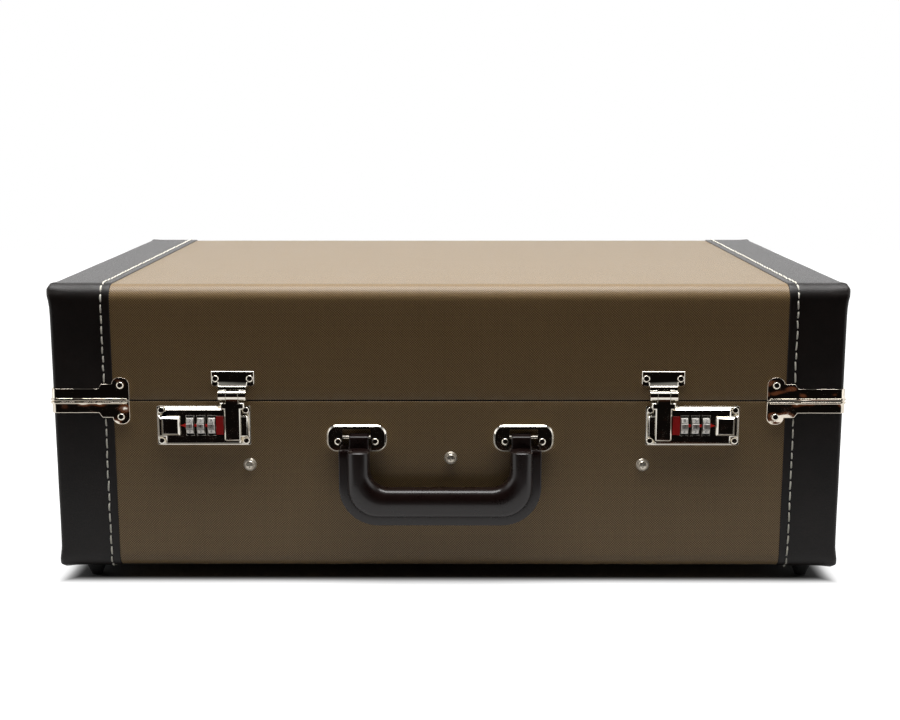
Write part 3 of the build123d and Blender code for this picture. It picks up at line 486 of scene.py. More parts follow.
class Effects:
    """Node groups that several finishes share, each built once."""

    def __init__(self) -> None:
        """Starts with no group built."""
        self.made: dict[str, bpy.types.NodeTree] = {}

    def start(self, name: str, outputs: tuple[str, ...], **numbers: float) -> tuple[Graph, dict]:
        """Starts a group with its named sockets.

        Args:
            name: Name of the group.
            outputs: Names of its results, which are numbers.
            numbers: Usual value by name of each input, beside the place.

        Returns:
            The group's graph and its input sockets by name.
        """
        tree = bpy.data.node_groups.new(name, "ShaderNodeTree")
        tree.interface.new_socket("Vector", in_out="INPUT", socket_type="NodeSocketVector")
        for key, usual in numbers.items():
            socket = tree.interface.new_socket(key, in_out="INPUT", socket_type="NodeSocketFloat")
            socket.default_value = usual
        for key in outputs:
            tree.interface.new_socket(key, in_out="OUTPUT", socket_type="NodeSocketFloat")
        self.made[name] = tree
        entry = tree.nodes.new("NodeGroupInput")
        return Graph(tree), {key: entry.outputs[key] for key in ("Vector", *numbers)}

    def close(self, graph: Graph, **results: Socket) -> None:
        """Links a group's results to its outputs."""
        graph.fill(graph.tree.nodes.new("NodeGroupOutput"), **results)

    def place_in(self, graph: Graph, name: str, **inputs: object) -> dict:
        """Puts a group into a material.

        Args:
            graph: The material's graph.
            name: Name of the group, which is also the method that builds it.
            inputs: Values or sockets by input name.

        Returns:
            Output sockets by name.
        """
        if name not in self.made:
            getattr(self, name)()
        made = graph.tree.nodes.new("ShaderNodeGroup")
        made.node_tree = self.made[name]
        graph.fill(made, **inputs)
        return {socket.name: socket for socket in made.outputs}

    def weave(self) -> None:
        """Plain weave: rounded threads that pass over and under, each with its own shade.

        A thread's height is the sine of its width, lifted where it passes over. The
        shade of a thread is a random number of its own, uneven along its length.
        """
        graph, given = self.start("weave", ("Height", "Over", "Shade"), Threads=1400, Slub=0.5)
        sway = graph.noise(given["Vector"], 90, 2)
        spot = graph.push(given["Vector"], (sway, sway), 0.0016)
        parts = graph.add("SeparateXYZ", Vector=graph.scale(spot, given["Threads"]))
        warp, weft = parts.outputs[:2]
        rounds = [graph.math("ABSOLUTE", graph.math("SINE", graph.times(run, math.pi)))
                  for run in (warp, weft)]
        warp_number, weft_number = (graph.math("FLOOR", run) for run in (warp, weft))
        over = graph.math("PINGPONG", graph.plus(warp_number, weft_number), 1.0)
        warp_height, weft_height = (graph.times(own, graph.line(other, 0.45, 0.55))
            for own, other in (rounds, reversed(rounds)))
        height = graph.mix(over, weft_height, warp_height)
        own = graph.mix(over, graph.own_number(graph.plus(weft_number, 0.37)),
                        graph.own_number(warp_number))
        slub = graph.mix(over, *(graph.noise(graph.stretch(given["Vector"], shares), 1, 2)
                                 for shares in ((160, 1100, 1), (1100, 160, 1))))
        self.close(graph, Height=height, Over=over, Shade=graph.mix(given["Slub"], own, slub))

    def grain(self) -> None:
        """Leather grain: rounded pebbles parted by creases, on soft larger folds."""
        graph, given = self.start("grain", ("Height", "Crease", "Shade"), Pebbles=900)
        bent = graph.noise(given["Vector"], 300, 2)
        spot = graph.push(given["Vector"], (bent, bent, bent), 0.0012)
        cells = graph.add("TexVoronoi", {"feature": "DISTANCE_TO_EDGE"}, Vector=spot,
                          Scale=given["Pebbles"])
        pebble = graph.spread(cells.outputs["Distance"], 0.0, 0.35)
        fine = graph.noise(given["Vector"], 2600, 3, 0.6)
        folds = graph.noise(given["Vector"], 45, 4, 0.5)
        height = graph.plus(graph.times(pebble, 0.6),
                            graph.plus(graph.times(fine, 0.15), graph.times(folds, 0.25)))
        self.close(graph, Height=height, Crease=graph.minus(1.0, pebble), Shade=folds)

    def wear(self) -> None:
        """Scuffs and dust: broken patches, and thin scratches where the amount is high."""
        graph, given = self.start("wear", ("Scuff", "Dust", "Scratch"), Amount=0.3, Edge=0.0)
        place, amount = given["Vector"], given["Amount"]
        patches = graph.noise(place, 130, 6, 0.68)
        rim = graph.times(given["Edge"], graph.spread(patches, 0.35, 0.7))
        loose = graph.times(graph.spread(patches, 0.62, 0.8), amount)
        dust = graph.times(graph.spread(graph.noise(place, 900, 5, 0.7), 0.56, 0.75), amount)
        streak = graph.noise(graph.stretch(place, (1.0, 1.0, 14.0)), 160, 4, 0.7)
        scratch = graph.times(graph.spread(streak, 0.66, 0.72), amount)
        self.close(graph, Scuff=graph.math("MAXIMUM", rim, loose), Dust=dust, Scratch=scratch)

    def smudge(self) -> None:
        """Handled metal: cloudy marks and fine wipes that change how sharply it mirrors."""
        graph, given = self.start("smudge", ("Roughness", "Tarnish", "Height"), Least=0.06,
                                  Most=0.2)
        place = given["Vector"]
        cloud = graph.noise(place, 170, 4, 0.6)
        wipes = graph.noise(graph.stretch(place, (9.0, 1.0, 1.0)), 420, 3)
        share = graph.times(graph.spread(cloud, 0.4, 0.75), graph.line(wipes, 0.6, 0.5))
        tarnish = graph.spread(graph.noise(place, 260, 5, 0.65), 0.58, 0.8)
        self.close(graph, Roughness=graph.mix(share, given["Least"], given["Most"]),
                   Tarnish=tarnish, Height=wipes)

    def fibres(self) -> None:
        """Short fibres or pores: small cells over soft patches that lie different ways."""
        graph, given = self.start("fibres", ("Height", "Nap"), Fineness=1500)
        cells = graph.add("TexVoronoi", {"feature": "F1"}, Vector=given["Vector"],
                          Scale=given["Fineness"])
        nap = graph.noise(given["Vector"], 38, 4, 0.6)
        fluff = graph.times(graph.noise(given["Vector"], 700, 4, 0.7), 0.5)
        self.close(graph, Height=graph.plus(cells.outputs["Distance"], fluff), Nap=nap)


EFFECTS = Effects()


def clear_tree(owner: bpy.types.Material | bpy.types.World) -> Graph:
    """Gives a material or a world an empty node tree."""
    owner.use_nodes = True
    owner.node_tree.nodes.clear()
    return Graph(owner.node_tree)


@dataclass(frozen=True)
class Finish:
    """A material with one principled shader, told by its name and its main colour."""

    name: str
    colour: Colour

    def look(self, graph: Graph) -> dict[str, object]:
        """Values of the shader's inputs by name, underscores standing for spaces."""
        raise NotImplementedError

    def build(self) -> bpy.types.Material:
        """Makes the material.

        Returns:
            The material.
        """
        material = bpy.data.materials.new(self.name)
        graph = clear_tree(material)
        shader = graph.add("BsdfPrincipled", **self.look(graph))
        graph.add("OutputMaterial", Surface=shader.outputs[0])
        return material


@dataclass(frozen=True)
class Tweed(Finish):
    """Olive cloth of light and dark threads, rubbed pale along the rims, with painted shade in the
    gaps between the threads.
    """

    name: str = "tweed_cloth"
    colour: Colour = linear(178, 146, 99)
    dark: Colour = linear(80, 62, 38)
    patch_dark: Colour = linear(104, 84, 54)
    patch_light: Colour = linear(126, 104, 70)
    rubbed: Colour = linear(150, 132, 104)
    sheen_colour: Colour = linear(250, 246, 236)
    threads: float = 1150.0
    patch_share: float = 0.15
    sheen: float = 0.9
    thread_depth: float = 0.0001

    def look(self, graph: Graph) -> dict[str, object]:
        """Works out the cloth's colour, gloss and bumps."""
        place = graph.surface()
        cloth = EFFECTS.place_in(graph, "weave", Vector=place, Threads=self.threads, Slub=0.7)
        tone = graph.line(cloth["Over"], 0.8, graph.line(cloth["Shade"], 0.24, -0.02))
        patch = graph.blend(graph.noise(place, 9, 3), self.patch_dark, self.patch_light)
        colour = graph.blend(self.patch_share, graph.blend(tone, self.dark, self.colour), patch)
        # Painted shade: the colour is darkened where the threads dip, down to 0.45 of it at the
        # bottom of a gap.
        painted_gap_shade = graph.spread(cloth["Height"], 0.05, 0.4, 0.45, 1.0)
        colour = graph.blend(1.0, colour, graph.combine(painted_gap_shade, painted_gap_shade, painted_gap_shade), "MULTIPLY")
        worn = EFFECTS.place_in(graph, "wear", Vector=graph.place(), Amount=0.12,
                                Edge=graph.wear_map())
        return dict(Base_Color=graph.tint(colour, worn["Scuff"], 0.4, self.rubbed),
                    Roughness=graph.mix(cloth["Height"], 0.5, 0.36), Sheen_Weight=self.sheen,
                    Sheen_Roughness=0.2, Sheen_Tint=self.sheen_colour, Specular_IOR_Level=0.5,
                    Normal=graph.bump(cloth["Height"], self.thread_depth, 0.4))


@dataclass(frozen=True)
class Leather(Finish):
    """Dark leather cloth with a fine pebble, scuffed edges and painted shade in the creases
    between the pebbles.
    """

    name: str = "black_leather"
    colour: Colour = linear(24, 14, 11)
    pebbles: float = 1000.0
    gloss: float = 0.28
    crease: Colour = linear(10, 8, 7)
    fold: Colour = linear(34, 27, 24)
    scuff: Colour = linear(70, 58, 50)
    dust: Colour = linear(120, 112, 104)
    depth: float = 0.00018

    def look(self, graph: Graph) -> dict[str, object]:
        """Works out the leather's colour, gloss and bumps."""
        place = graph.place()
        hide = EFFECTS.place_in(graph, "grain", Vector=place, Pebbles=self.pebbles)
        # Painted shade: the leather is darkened towards the crease colour in the creases between
        # the pebbles.
        colour = graph.blend(hide["Crease"], self.colour, self.crease)
        colour = graph.tint(colour, graph.spread(hide["Shade"], 0.35, 0.75), 0.4, self.fold)
        worn = EFFECTS.place_in(graph, "wear", Vector=place, Amount=0.15, Edge=graph.wear_map())
        colour = graph.tint(colour, worn["Scuff"], 0.2, self.scuff)
        colour = graph.tint(colour, worn["Dust"], 0.1, self.dust)
        rough = graph.plus(self.gloss, graph.times(hide["Crease"], 0.16))
        return dict(Base_Color=colour, Specular_IOR_Level=0.32,
                    Roughness=graph.plus(rough, graph.times(worn["Scuff"], 0.15)),
                    Normal=graph.bump(hide["Height"], self.depth, 0.4))


@dataclass(frozen=True)
class Metal(Finish):
    """Plated or bare metal with handling marks."""

    least: float
    most: float
    tarnish: Colour = linear(120, 104, 86)
    dust: Colour = linear(150, 140, 126)
    scratches: float = 0.25
    mark_depth: float = 0.00002
    wave: float = 0.0
    waves: float = 70.0

    def look(self, graph: Graph) -> dict[str, object]:
        """Works out the metal's colour, gloss and bumps."""
        place = graph.place()
        marks = EFFECTS.place_in(graph, "smudge", Vector=place, Least=self.least, Most=self.most)
        worn = EFFECTS.place_in(graph, "wear", Vector=place, Amount=self.scratches, Edge=0.0)
        colour = graph.tint(self.colour, marks["Tarnish"], 0.35, self.tarnish)
        height = graph.plus(graph.times(marks["Height"], 0.4), graph.times(worn["Scratch"], -0.6))
        swell = graph.bump(graph.noise(place, self.waves, 1.0, 0.4), self.wave)
        return dict(Base_Color=graph.tint(colour, worn["Dust"], 0.35, self.dust), Metallic=1.0,
                    Roughness=graph.plus(marks["Roughness"], graph.times(worn["Scratch"], 0.25)),
                    Normal=graph.bump(height, self.mark_depth, 0.35, swell))


@dataclass(frozen=True)
class Moulded(Finish):
    """Moulded plastic, rubber or enamel with a fine skin."""

    pale: Colour
    gloss: float
    skin: float = 1800.0
    depth: float = 0.00005
    coat: float = 0.0
    dust: Colour = linear(128, 120, 112)

    def look(self, graph: Graph) -> dict[str, object]:
        """Works out the plastic's colour, gloss and bumps."""
        place = graph.place()
        cloud = graph.noise(place, 70, 4)
        worn = EFFECTS.place_in(graph, "wear", Vector=place, Amount=0.3, Edge=0.0)
        colour = graph.blend(graph.spread(cloud, 0.35, 0.75, 0.0, 0.5), self.colour, self.pale)
        rough = graph.line(worn["Scuff"], 0.22, graph.times(cloud, 0.08))
        height = graph.minus(graph.noise(place, self.skin, 3, 0.6),
                             graph.times(worn["Scratch"], 0.8))
        return dict(Base_Color=graph.tint(colour, worn["Dust"], 0.1, self.dust),
                    Specular_IOR_Level=0.35, Roughness=graph.plus(self.gloss, rough),
                    Coat_Weight=self.coat, Coat_Roughness=0.12,
                    Normal=graph.bump(height, self.depth, 0.5))


@dataclass(frozen=True)
class Fibrous(Finish):
    """Plush, foam or thread, with short fibres or pores."""

    pale: Colour
    fineness: float
    depth: float
    sheen: float
    dust: Colour = linear(150, 144, 136)

    def look(self, graph: Graph) -> dict[str, object]:
        """Works out the soft piece's colour, gloss and bumps."""
        place = graph.place()
        pile = EFFECTS.place_in(graph, "fibres", Vector=place, Fineness=self.fineness)
        share = graph.times(graph.spread(pile["Height"], 0.2, 0.9),
                            graph.spread(pile["Nap"], 0.3, 0.7, 0.35, 1.0))
        colour = graph.blend(share, self.colour, self.pale)
        worn = EFFECTS.place_in(graph, "wear", Vector=place, Amount=0.4, Edge=0.0)
        return dict(Base_Color=graph.tint(colour, worn["Dust"], 0.12, self.dust),
                    Roughness=graph.mix(pile["Nap"], 0.95, 0.8), Sheen_Weight=self.sheen,
                    Sheen_Roughness=0.4, Normal=graph.bump(pile["Height"], self.depth, 0.8))


@dataclass(frozen=True)
class Plywood(Finish):
    """Birch ply: long grain on its faces, with rings, dark pores and knocks."""

    name: str = "plywood"
    colour: Colour = linear(196, 166, 122)
    late: Colour = linear(150, 112, 72)
    pore: Colour = linear(96, 66, 40)
    knock: Colour = linear(120, 88, 56)
    pore_depth: float = 0.00012

    def look(self, graph: Graph) -> dict[str, object]:
        """Works out the wood's colour, gloss and bumps."""
        place = graph.place()
        rings = graph.noise(graph.stretch(place, (0.06, 1.0, 1.0)), 260, 5, 0.6)
        pores = graph.noise(graph.stretch(place, (0.03, 1.0, 1.0)), 1800, 2)
        colour = graph.blend(graph.spread(rings, 0.35, 0.7), self.colour, self.late)
        colour = graph.blend(graph.spread(pores, 0.6, 0.75, 0.0, 0.5), colour, self.pore)
        worn = EFFECTS.place_in(graph, "wear", Vector=place, Amount=0.4, Edge=0.0)
        return dict(Base_Color=graph.tint(colour, worn["Scuff"], 0.4, self.knock),
                    Roughness=graph.mix(rings, 0.5, 0.68),
                    Normal=graph.bump(pores, self.pore_depth, 0.6))


class Finishes:
    """Every finish of the case, made once."""

    def __init__(self) -> None:
        """Builds the materials."""
        self.tweed = Tweed().build()
        self.leather = Leather().build()
        self.binding = Leather("rim_binding", linear(30, 26, 24), 1300.0, 0.5).build()
        self.nickel = Metal("nickel", linear(232, 226, 214), 0.05, 0.16).build()
        self.pressed = Metal("pressed_nickel", linear(238, 228, 212), 0.05, 0.16,
                             wave=0.0026).build()
        self.satin = Metal("satin_nickel", linear(208, 200, 186), 0.28, 0.4).build()
        self.steel = Metal("steel", linear(176, 172, 166), 0.2, 0.36).build()
        self.wheel = Metal("wheel_metal", linear(196, 193, 187), 0.32, 0.44).build()
        self.enamel = Moulded("red_enamel", linear(196, 30, 30), linear(208, 44, 40), 0.3,
                              900.0, 0.00002, 0.6).build()
        self.mark = Moulded("red_mark", linear(250, 40, 30), linear(255, 60, 44), 0.4).build()
        self.ink = Moulded("numeral_ink", linear(16, 15, 15), linear(34, 32, 30), 0.45).build()
        self.grip = Moulded("grip_plastic", linear(28, 16, 14), linear(35, 22, 19), 0.24,
                            1400.0, 0.00003, 0.34).build()
        self.rubber = Moulded("foot_rubber", linear(24, 23, 23), linear(44, 42, 41), 0.62,
                              2200.0, 0.00012).build()
        self.plush = Fibrous("plush_lining", linear(44, 30, 32), linear(88, 62, 62), 1700.0,
                             0.0004, 0.8).build()
        self.foam = Fibrous("foam", linear(34, 34, 36), linear(70, 70, 74), 1100.0, 0.0006,
                            0.15).build()
        self.thread = Fibrous("stitch_thread", linear(232, 226, 208), linear(252, 248, 236),
                              3200.0, 0.00012, 0.4).build()
        self.wood = Plywood().build()


# Surfaces of the case


@dataclass(frozen=True)
class CaseSizes:
    """Sizes of the closed case that its coverings follow."""

    half_width: float = 280.0
    leather_edge: float = 239.0
    left_leather_edge: float = 237.4
    middle_y: float = 6.35
    half_depth: float = 172.5
    base_bottom: float = 10.0
    base_top: float = 133.6
    lid_bottom: float = 134.4
    lid_top: float = 216.0
    shell_bottom: float = 10.8
    shell_top: float = 215.2
    long_radius: float = 11.0
    end_radius: float = 3.0
    cloth: float = 0.8
    leather: float = 1.6
    wall: float = 6.0
    lining: float = 1.0
    rim_roll: float = 0.9
    rim_roll_depth: float = 0.8

    def edge(self, side: Side) -> float:
        """Distance of the leather's cut edge from the middle plane."""
        return self.left_leather_edge if side is Side.LEFT else self.leather_edge

    def rim(self, half: Half) -> float:
        """Height of a half's rim."""
        return self.base_top if half is Half.BASE else self.lid_bottom


SIZES = CaseSizes()


@dataclass(frozen=True)
class Section:
    """Open U of the case's cross section, from one rim down, across and up to the other."""

    half: Half
    growth: float
    arc_lines: int = 11
    roll_lines: tuple[float, ...] = (0.0, 0.15, 0.45, SIZES.rim_roll)

    @property
    def half_depth(self) -> float:
        """Distance from the middle plane to the outside of a long side."""
        return SIZES.half_depth - SIZES.cloth + self.growth

    @property
    def radius(self) -> float:
        """Radius of the long edges."""
        return SIZES.long_radius - SIZES.cloth + self.growth

    @property
    def height(self) -> float:
        """Distance from the rim to the outside of the flat."""
        flat = SIZES.base_bottom if self.half is Half.BASE else SIZES.lid_top
        return abs(SIZES.rim(self.half) - flat) - SIZES.cloth + self.growth

    @property
    def stops(self) -> list[float]:
        """Places along the section where its shape changes."""
        side, arc = self.height - self.radius, self.radius * RIGHT_ANGLE
        flat = 2 * (self.half_depth - self.radius)
        return [0.0, side, side + arc, side + arc + flat, side + 2 * arc + flat,
                2 * side + 2 * arc + flat]

    @property
    def end(self) -> float:
        """Length of the section."""
        return self.stops[-1]

    def at(self, run: Array) -> tuple[Array, Array]:
        """Points and outward directions at distances along the section.

        Straight, quarter circle, straight, quarter circle, straight. The depth below
        the rim becomes a height, downwards for the base and upwards for the lid.

        Args:
            run: Distances from the front rim.

        Returns:
            Points and directions, each by two: Y and Z.
        """
        _, a, b, c, d, _ = self.stops
        side = self.height - self.radius
        first, second = (run - a) / self.radius, (run - c) / self.radius
        near = -self.half_depth + self.radius
        cases = [run < a, run < b, run < c, run < d]
        y = np.select(cases, [-self.half_depth + 0 * run, near - self.radius * np.cos(first),
                              near + run - b, -near + self.radius * np.sin(second)],
                      self.half_depth)
        depth = np.select(cases, [run, side + self.radius * np.sin(first), self.height + 0 * run,
                                  side + self.radius * np.cos(second)], side - (run - d))
        out_y = np.select(cases, [-1 + 0 * run, -np.cos(first), 0 * run, np.sin(second)], 1.0)
        out_depth = np.select(cases, [0 * run, np.sin(first), 1 + 0 * run, np.cos(second)], 0.0)
        sign = -1.0 if self.half is Half.BASE else 1.0
        rim = SIZES.rim(self.half)
        points = np.stack([y + SIZES.middle_y, rim + sign * depth], axis=-1)
        return points, np.stack([out_y, sign * out_depth], axis=-1)

    def lines(self, step: float, extra: tuple[float, ...] = ()) -> Array:
        """Grid lines along the section: fine on the rounded edges, wider elsewhere.

        Args:
            step: Usual distance between lines.
            extra: Further places that get a line.

        Returns:
            Distances from the front rim.
        """
        stops = self.stops
        fine = [np.linspace(stops[start], stops[start + 1], self.arc_lines) for start in (1, 3)]
        marks = np.concatenate([self.roll_lines, self.end - np.array(self.roll_lines), *fine,
                                extra])
        return lines_through(list(np.unique(np.round(marks, 4))), step)

    def from_rim(self, run: Array) -> Array:
        """Distance along the section to the nearer rim."""
        return np.minimum(run, self.end - run)

    def rim_inset(self, run: Array) -> Array:
        """How far the covering draws in at both rims: a flattened quarter circle."""
        near = np.clip(self.from_rim(run) / SIZES.rim_roll, 0, 1)
        return SIZES.rim_roll * (1 - np.sqrt(1 - (1 - near) ** 2)) * SIZES.rim_roll_depth

    def at_long_edges(self, run: Array, width: float) -> Array:
        """Share that is 1 at the middle of both rounded edges and falls off as a bell."""
        _, a, b, c, d, _ = self.stops
        return bell(run - (a + b) / 2, width) + bell(run - (c + d) / 2, width)


@dataclass(frozen=True)
class LeatherEnd:
    """Leather over one end of one half, folded at its corners, stitched along its edge."""

    finishes: Finishes
    half: Half
    side: Side
    step: float = 5.0
    lip: Pairs = (
        (0.5, 0.1), (0.1, 0.3), (0.0, 0.8), (0.12, 1.25), (0.5, 1.52), (1.1, SIZES.leather))
    lip_end: float = 2.2
    seam_half: float = 1.2
    arc_lines: int = 7
    back: float = 1.3
    end_near: float = 0.12
    end_lines: tuple[int, int] = (5, 26)
    fold_width: float = 8.5
    fold_reach: float = 7.0
    fold_columns: float = 2.2
    fold_rise: float = 1.25
    fold_stand: float = 1.8
    pleat_rise: float = 0.35
    pleat_turn: float = 1.1
    seam_width: float = 0.9
    seam_depth: float = 0.16
    wave: float = 0.09
    end_wave: float = 0.12
    rim_calm: float = 14.0
    worn_width: float = 5.0
    worn_edge: float = 0.35
    worn_columns: tuple[int, int] = (6, 2)
    stitch_inset: float = 5.9
    stitch_pitch: float = 8.0
    stitch_gap: float = 1.35
    stitch_start: float = 12.6
    stitch_uneven: float = 0.11
    stitch_lean: float = 0.16
    stitch_rings: int = 9
    stitch_sides: int = 6
    stitch_sink: float = 0.55
    stitch_rise: float = 0.95
    thread_radius: float = 0.52
    thread_spread: float = 1.15

    @property
    def section(self) -> Section:
        """Section that its outside follows."""
        return Section(self.half, SIZES.leather)

    @property
    def run(self) -> Array:
        """Distances of its rows along the section."""
        return self.section.lines(self.step)

    @property
    def seam_x(self) -> float:
        """Distance of the stitching from the middle plane."""
        return SIZES.edge(self.side) + self.stitch_inset

    @property
    def share(self) -> Array:
        """Places of the ruled end's columns between its edge and the rim, from 0 to 1."""
        near, far = self.end_lines
        return np.concatenate([np.linspace(0, self.end_near, near)[1:],
                               np.linspace(self.end_near, 1.0, far)[1:]])

    @property
    def profile(self) -> Array:
        """Path from the cut edge outwards and over the end, by a lip and a quarter circle.

        Its rows are X, height over the wood and inset of the section, all positive.
        """
        edge, radius = SIZES.edge(self.side), SIZES.end_radius
        lip = np.array([[edge + beyond, height, 0] for beyond, height in self.lip])
        turn = SIZES.half_width - radius
        flat_x = lines_through([edge + self.lip_end, self.seam_x - self.seam_half, self.seam_x,
                                self.seam_x + self.seam_half, turn], self.step)
        flat = np.stack([flat_x, np.full_like(flat_x, SIZES.leather), 0 * flat_x], axis=1)
        angle = np.linspace(0, RIGHT_ANGLE, self.arc_lines)[1:]
        arc = np.stack([turn + radius * np.sin(angle), np.full_like(angle, SIZES.leather),
                        radius * (1 - np.cos(angle))], axis=1)
        return np.concatenate([lip, flat, arc])

    def skin(self, depth: float) -> tuple[Array, Array, Array]:
        """Outer or inner skin, before its folds.

        The first columns carry the section along X and over the rounded end edge,
        drawn in by that edge's circle. The end itself is ruled: each point of the
        last section goes straight to its own place on the rim.

        Args:
            depth: How far in the skin lies.

        Returns:
            Y and Z by row and column, distance from the middle plane, and the way out.
        """
        run, profile, end = self.run, self.profile, self.section.end
        grown = Section(self.half, SIZES.leather - depth)
        points, out = grown.at(run * grown.end / end)
        drop = (profile[:, 1] - SIZES.leather) * (depth == 0)
        body = points[:, None] + out[:, None] * (drop - profile[:, 2])[None, :, None]
        body = body - out[:, None] * self.section.rim_inset(run)[:, None, None]
        x = np.broadcast_to(profile[:, 0] - depth * (profile[:, 2] / SIZES.end_radius),
                            (len(run), len(profile)))
        last = body[:, -1]
        rim_y = np.interp(run, [0, end], [last[0, 0], last[-1, 0]])
        goal = np.stack([rim_y, np.full_like(rim_y, last[0, 1])], axis=1)
        face = last[:, None] + (goal - last)[:, None] * self.share[None, :, None]
        face_x = np.full(face.shape[:2], x[0, -1])
        return np.concatenate([body, face], axis=1), np.concatenate([x, face_x], axis=1), out

    def fold(self, plane: Array, x: Array, out: Array) -> tuple[Array, Array]:
        """Adds the folds at the corners, the pull of the stitching and some waviness.

        A fold is a bell along the section times a bell along X, with a pleat's cosine
        on it. The seam is a narrow bell inwards.

        Args:
            plane: Points by row and column, Y and Z.
            x: Their distance from the middle plane.
            out: Outward directions along the section.

        Returns:
            The points and distances with the shape added.
        """
        run, section, first = self.run, self.section, len(self.profile)
        near_end = bell(SIZES.half_width - x, self.fold_reach)
        fade = np.ones(x.shape[1])
        fade[first:] = bell(np.arange(x.shape[1] - first), self.fold_columns)
        ridge = section.at_long_edges(run, self.fold_width)[:, None] * near_end * fade[None, :]
        edge_middle = (section.stops[1] + section.stops[2]) / 2
        pleat = self.pleat_rise * np.cos((run[:, None] - edge_middle) * self.pleat_turn) * ridge
        seam = bell(x - self.seam_x, self.seam_width)
        wave = self.wave * waviness(x, run[:, None] + 0 * x, 45.0, 11)
        calm = np.clip(section.from_rim(run) / self.rim_calm, 0, 1)[:, None]
        push = (self.fold_rise * ridge + pleat + wave * calm) - self.seam_depth * seam
        end_wave = self.end_wave * calm * waviness(plane[..., 0], plane[..., 1], 50.0, 17)
        stand = self.fold_stand * ridge + end_wave * (near_end > 0.8)
        return plane + out[:, None] * push[..., None], x + stand

    def worn(self) -> Array:
        """How worn each point of both skins is: most on the corners, some on the edges.

        Returns:
            One number for each point.
        """
        long_edge = self.section.at_long_edges(self.run, self.worn_width)[:, None]
        first, (before, after) = len(self.profile), self.worn_columns
        along = np.zeros((1, first + len(self.share)))
        along[:, first - before:first + after] = 1.0
        worn = self.worn_edge * long_edge + self.worn_edge * along + long_edge * along
        return np.tile(np.clip(worn, 0, 1).ravel(), 2)

    def build(self) -> None:
        """Makes the leather, from its folded outer and its plain inner skin, and the thread."""
        outer, x, out = self.skin(0.0)
        inner, inner_x, _ = self.skin(self.back)
        outer, x = self.fold(outer, x, out)
        points = [np.concatenate([self.side.value * across[..., None], plane], axis=-1)
                  for across, plane in ((x, outer), (inner_x, inner))]
        name = f"{self.half.value}_cap_{self.side.word}"
        mesh = build_mesh(name, np.concatenate([skin.reshape(-1, 3) for skin in points]),
                          shell_quads(np.ones((x.shape[0] - 1, x.shape[1] - 1), bool)))
        set_wear(mesh, self.worn())
        piece = add_piece(name, mesh, self.finishes.leather, self.half.value)
        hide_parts(f"{self.half.value}_leather_{self.side.word}")
        self.stitches()

    def stitches(self) -> None:
        """Saddle stitches along the leather's edge.

        Each stitch is a tube on the section's own curve. Its height over the leather
        follows half a sine wave, so that both ends sink into their holes.
        """
        section, side = self.section, self.side.value
        reach = section.end - 2 * self.stitch_start
        count = round(reach / self.stitch_pitch)
        draw = np.random.default_rng(41 + side + (7 if self.half is Half.LID else 0))
        uneven = np.cumsum(reach / count * (1 + self.stitch_uneven * draw.normal(0, 1, count + 1)))
        holes = self.stitch_start + (uneven - uneven[0]) * reach / (uneven[-1] - uneven[0])
        start, length = holes[:-1, None], np.diff(holes)[:, None] - self.stitch_gap
        share = np.linspace(0, 1, self.stitch_rings)
        lean = draw.normal(0, self.stitch_lean, (count, 2))
        x = self.seam_x + lean[:, :1] + lean[:, 1:] * (share[None, :] - 0.5) * 2
        arch = np.sin(math.pi * share)
        height = -self.stitch_sink + self.stitch_rise * arch ** 0.45
        radius = (self.thread_radius * (0.7 + 0.3 * arch ** 0.5))[None, :, None]
        turn = np.arange(self.stitch_sides) * math.tau / self.stitch_sides
        points, out = section.at(start + length * share[None, :])
        rise = height[None, :, None] + radius * np.cos(turn)
        sideways = x[..., None] + radius * np.sin(turn) * self.thread_spread
        plane = points[:, :, None] + out[:, :, None] * rise[..., None]
        tubes = np.concatenate([side * sideways[..., None], plane], axis=-1)
        name = f"{self.half.value}_stitches_{self.side.word}"
        mesh = build_mesh(name, *join([loft(list(tube)) for tube in tubes]))
        add_piece(name, mesh, self.finishes.thread, self.half.value)


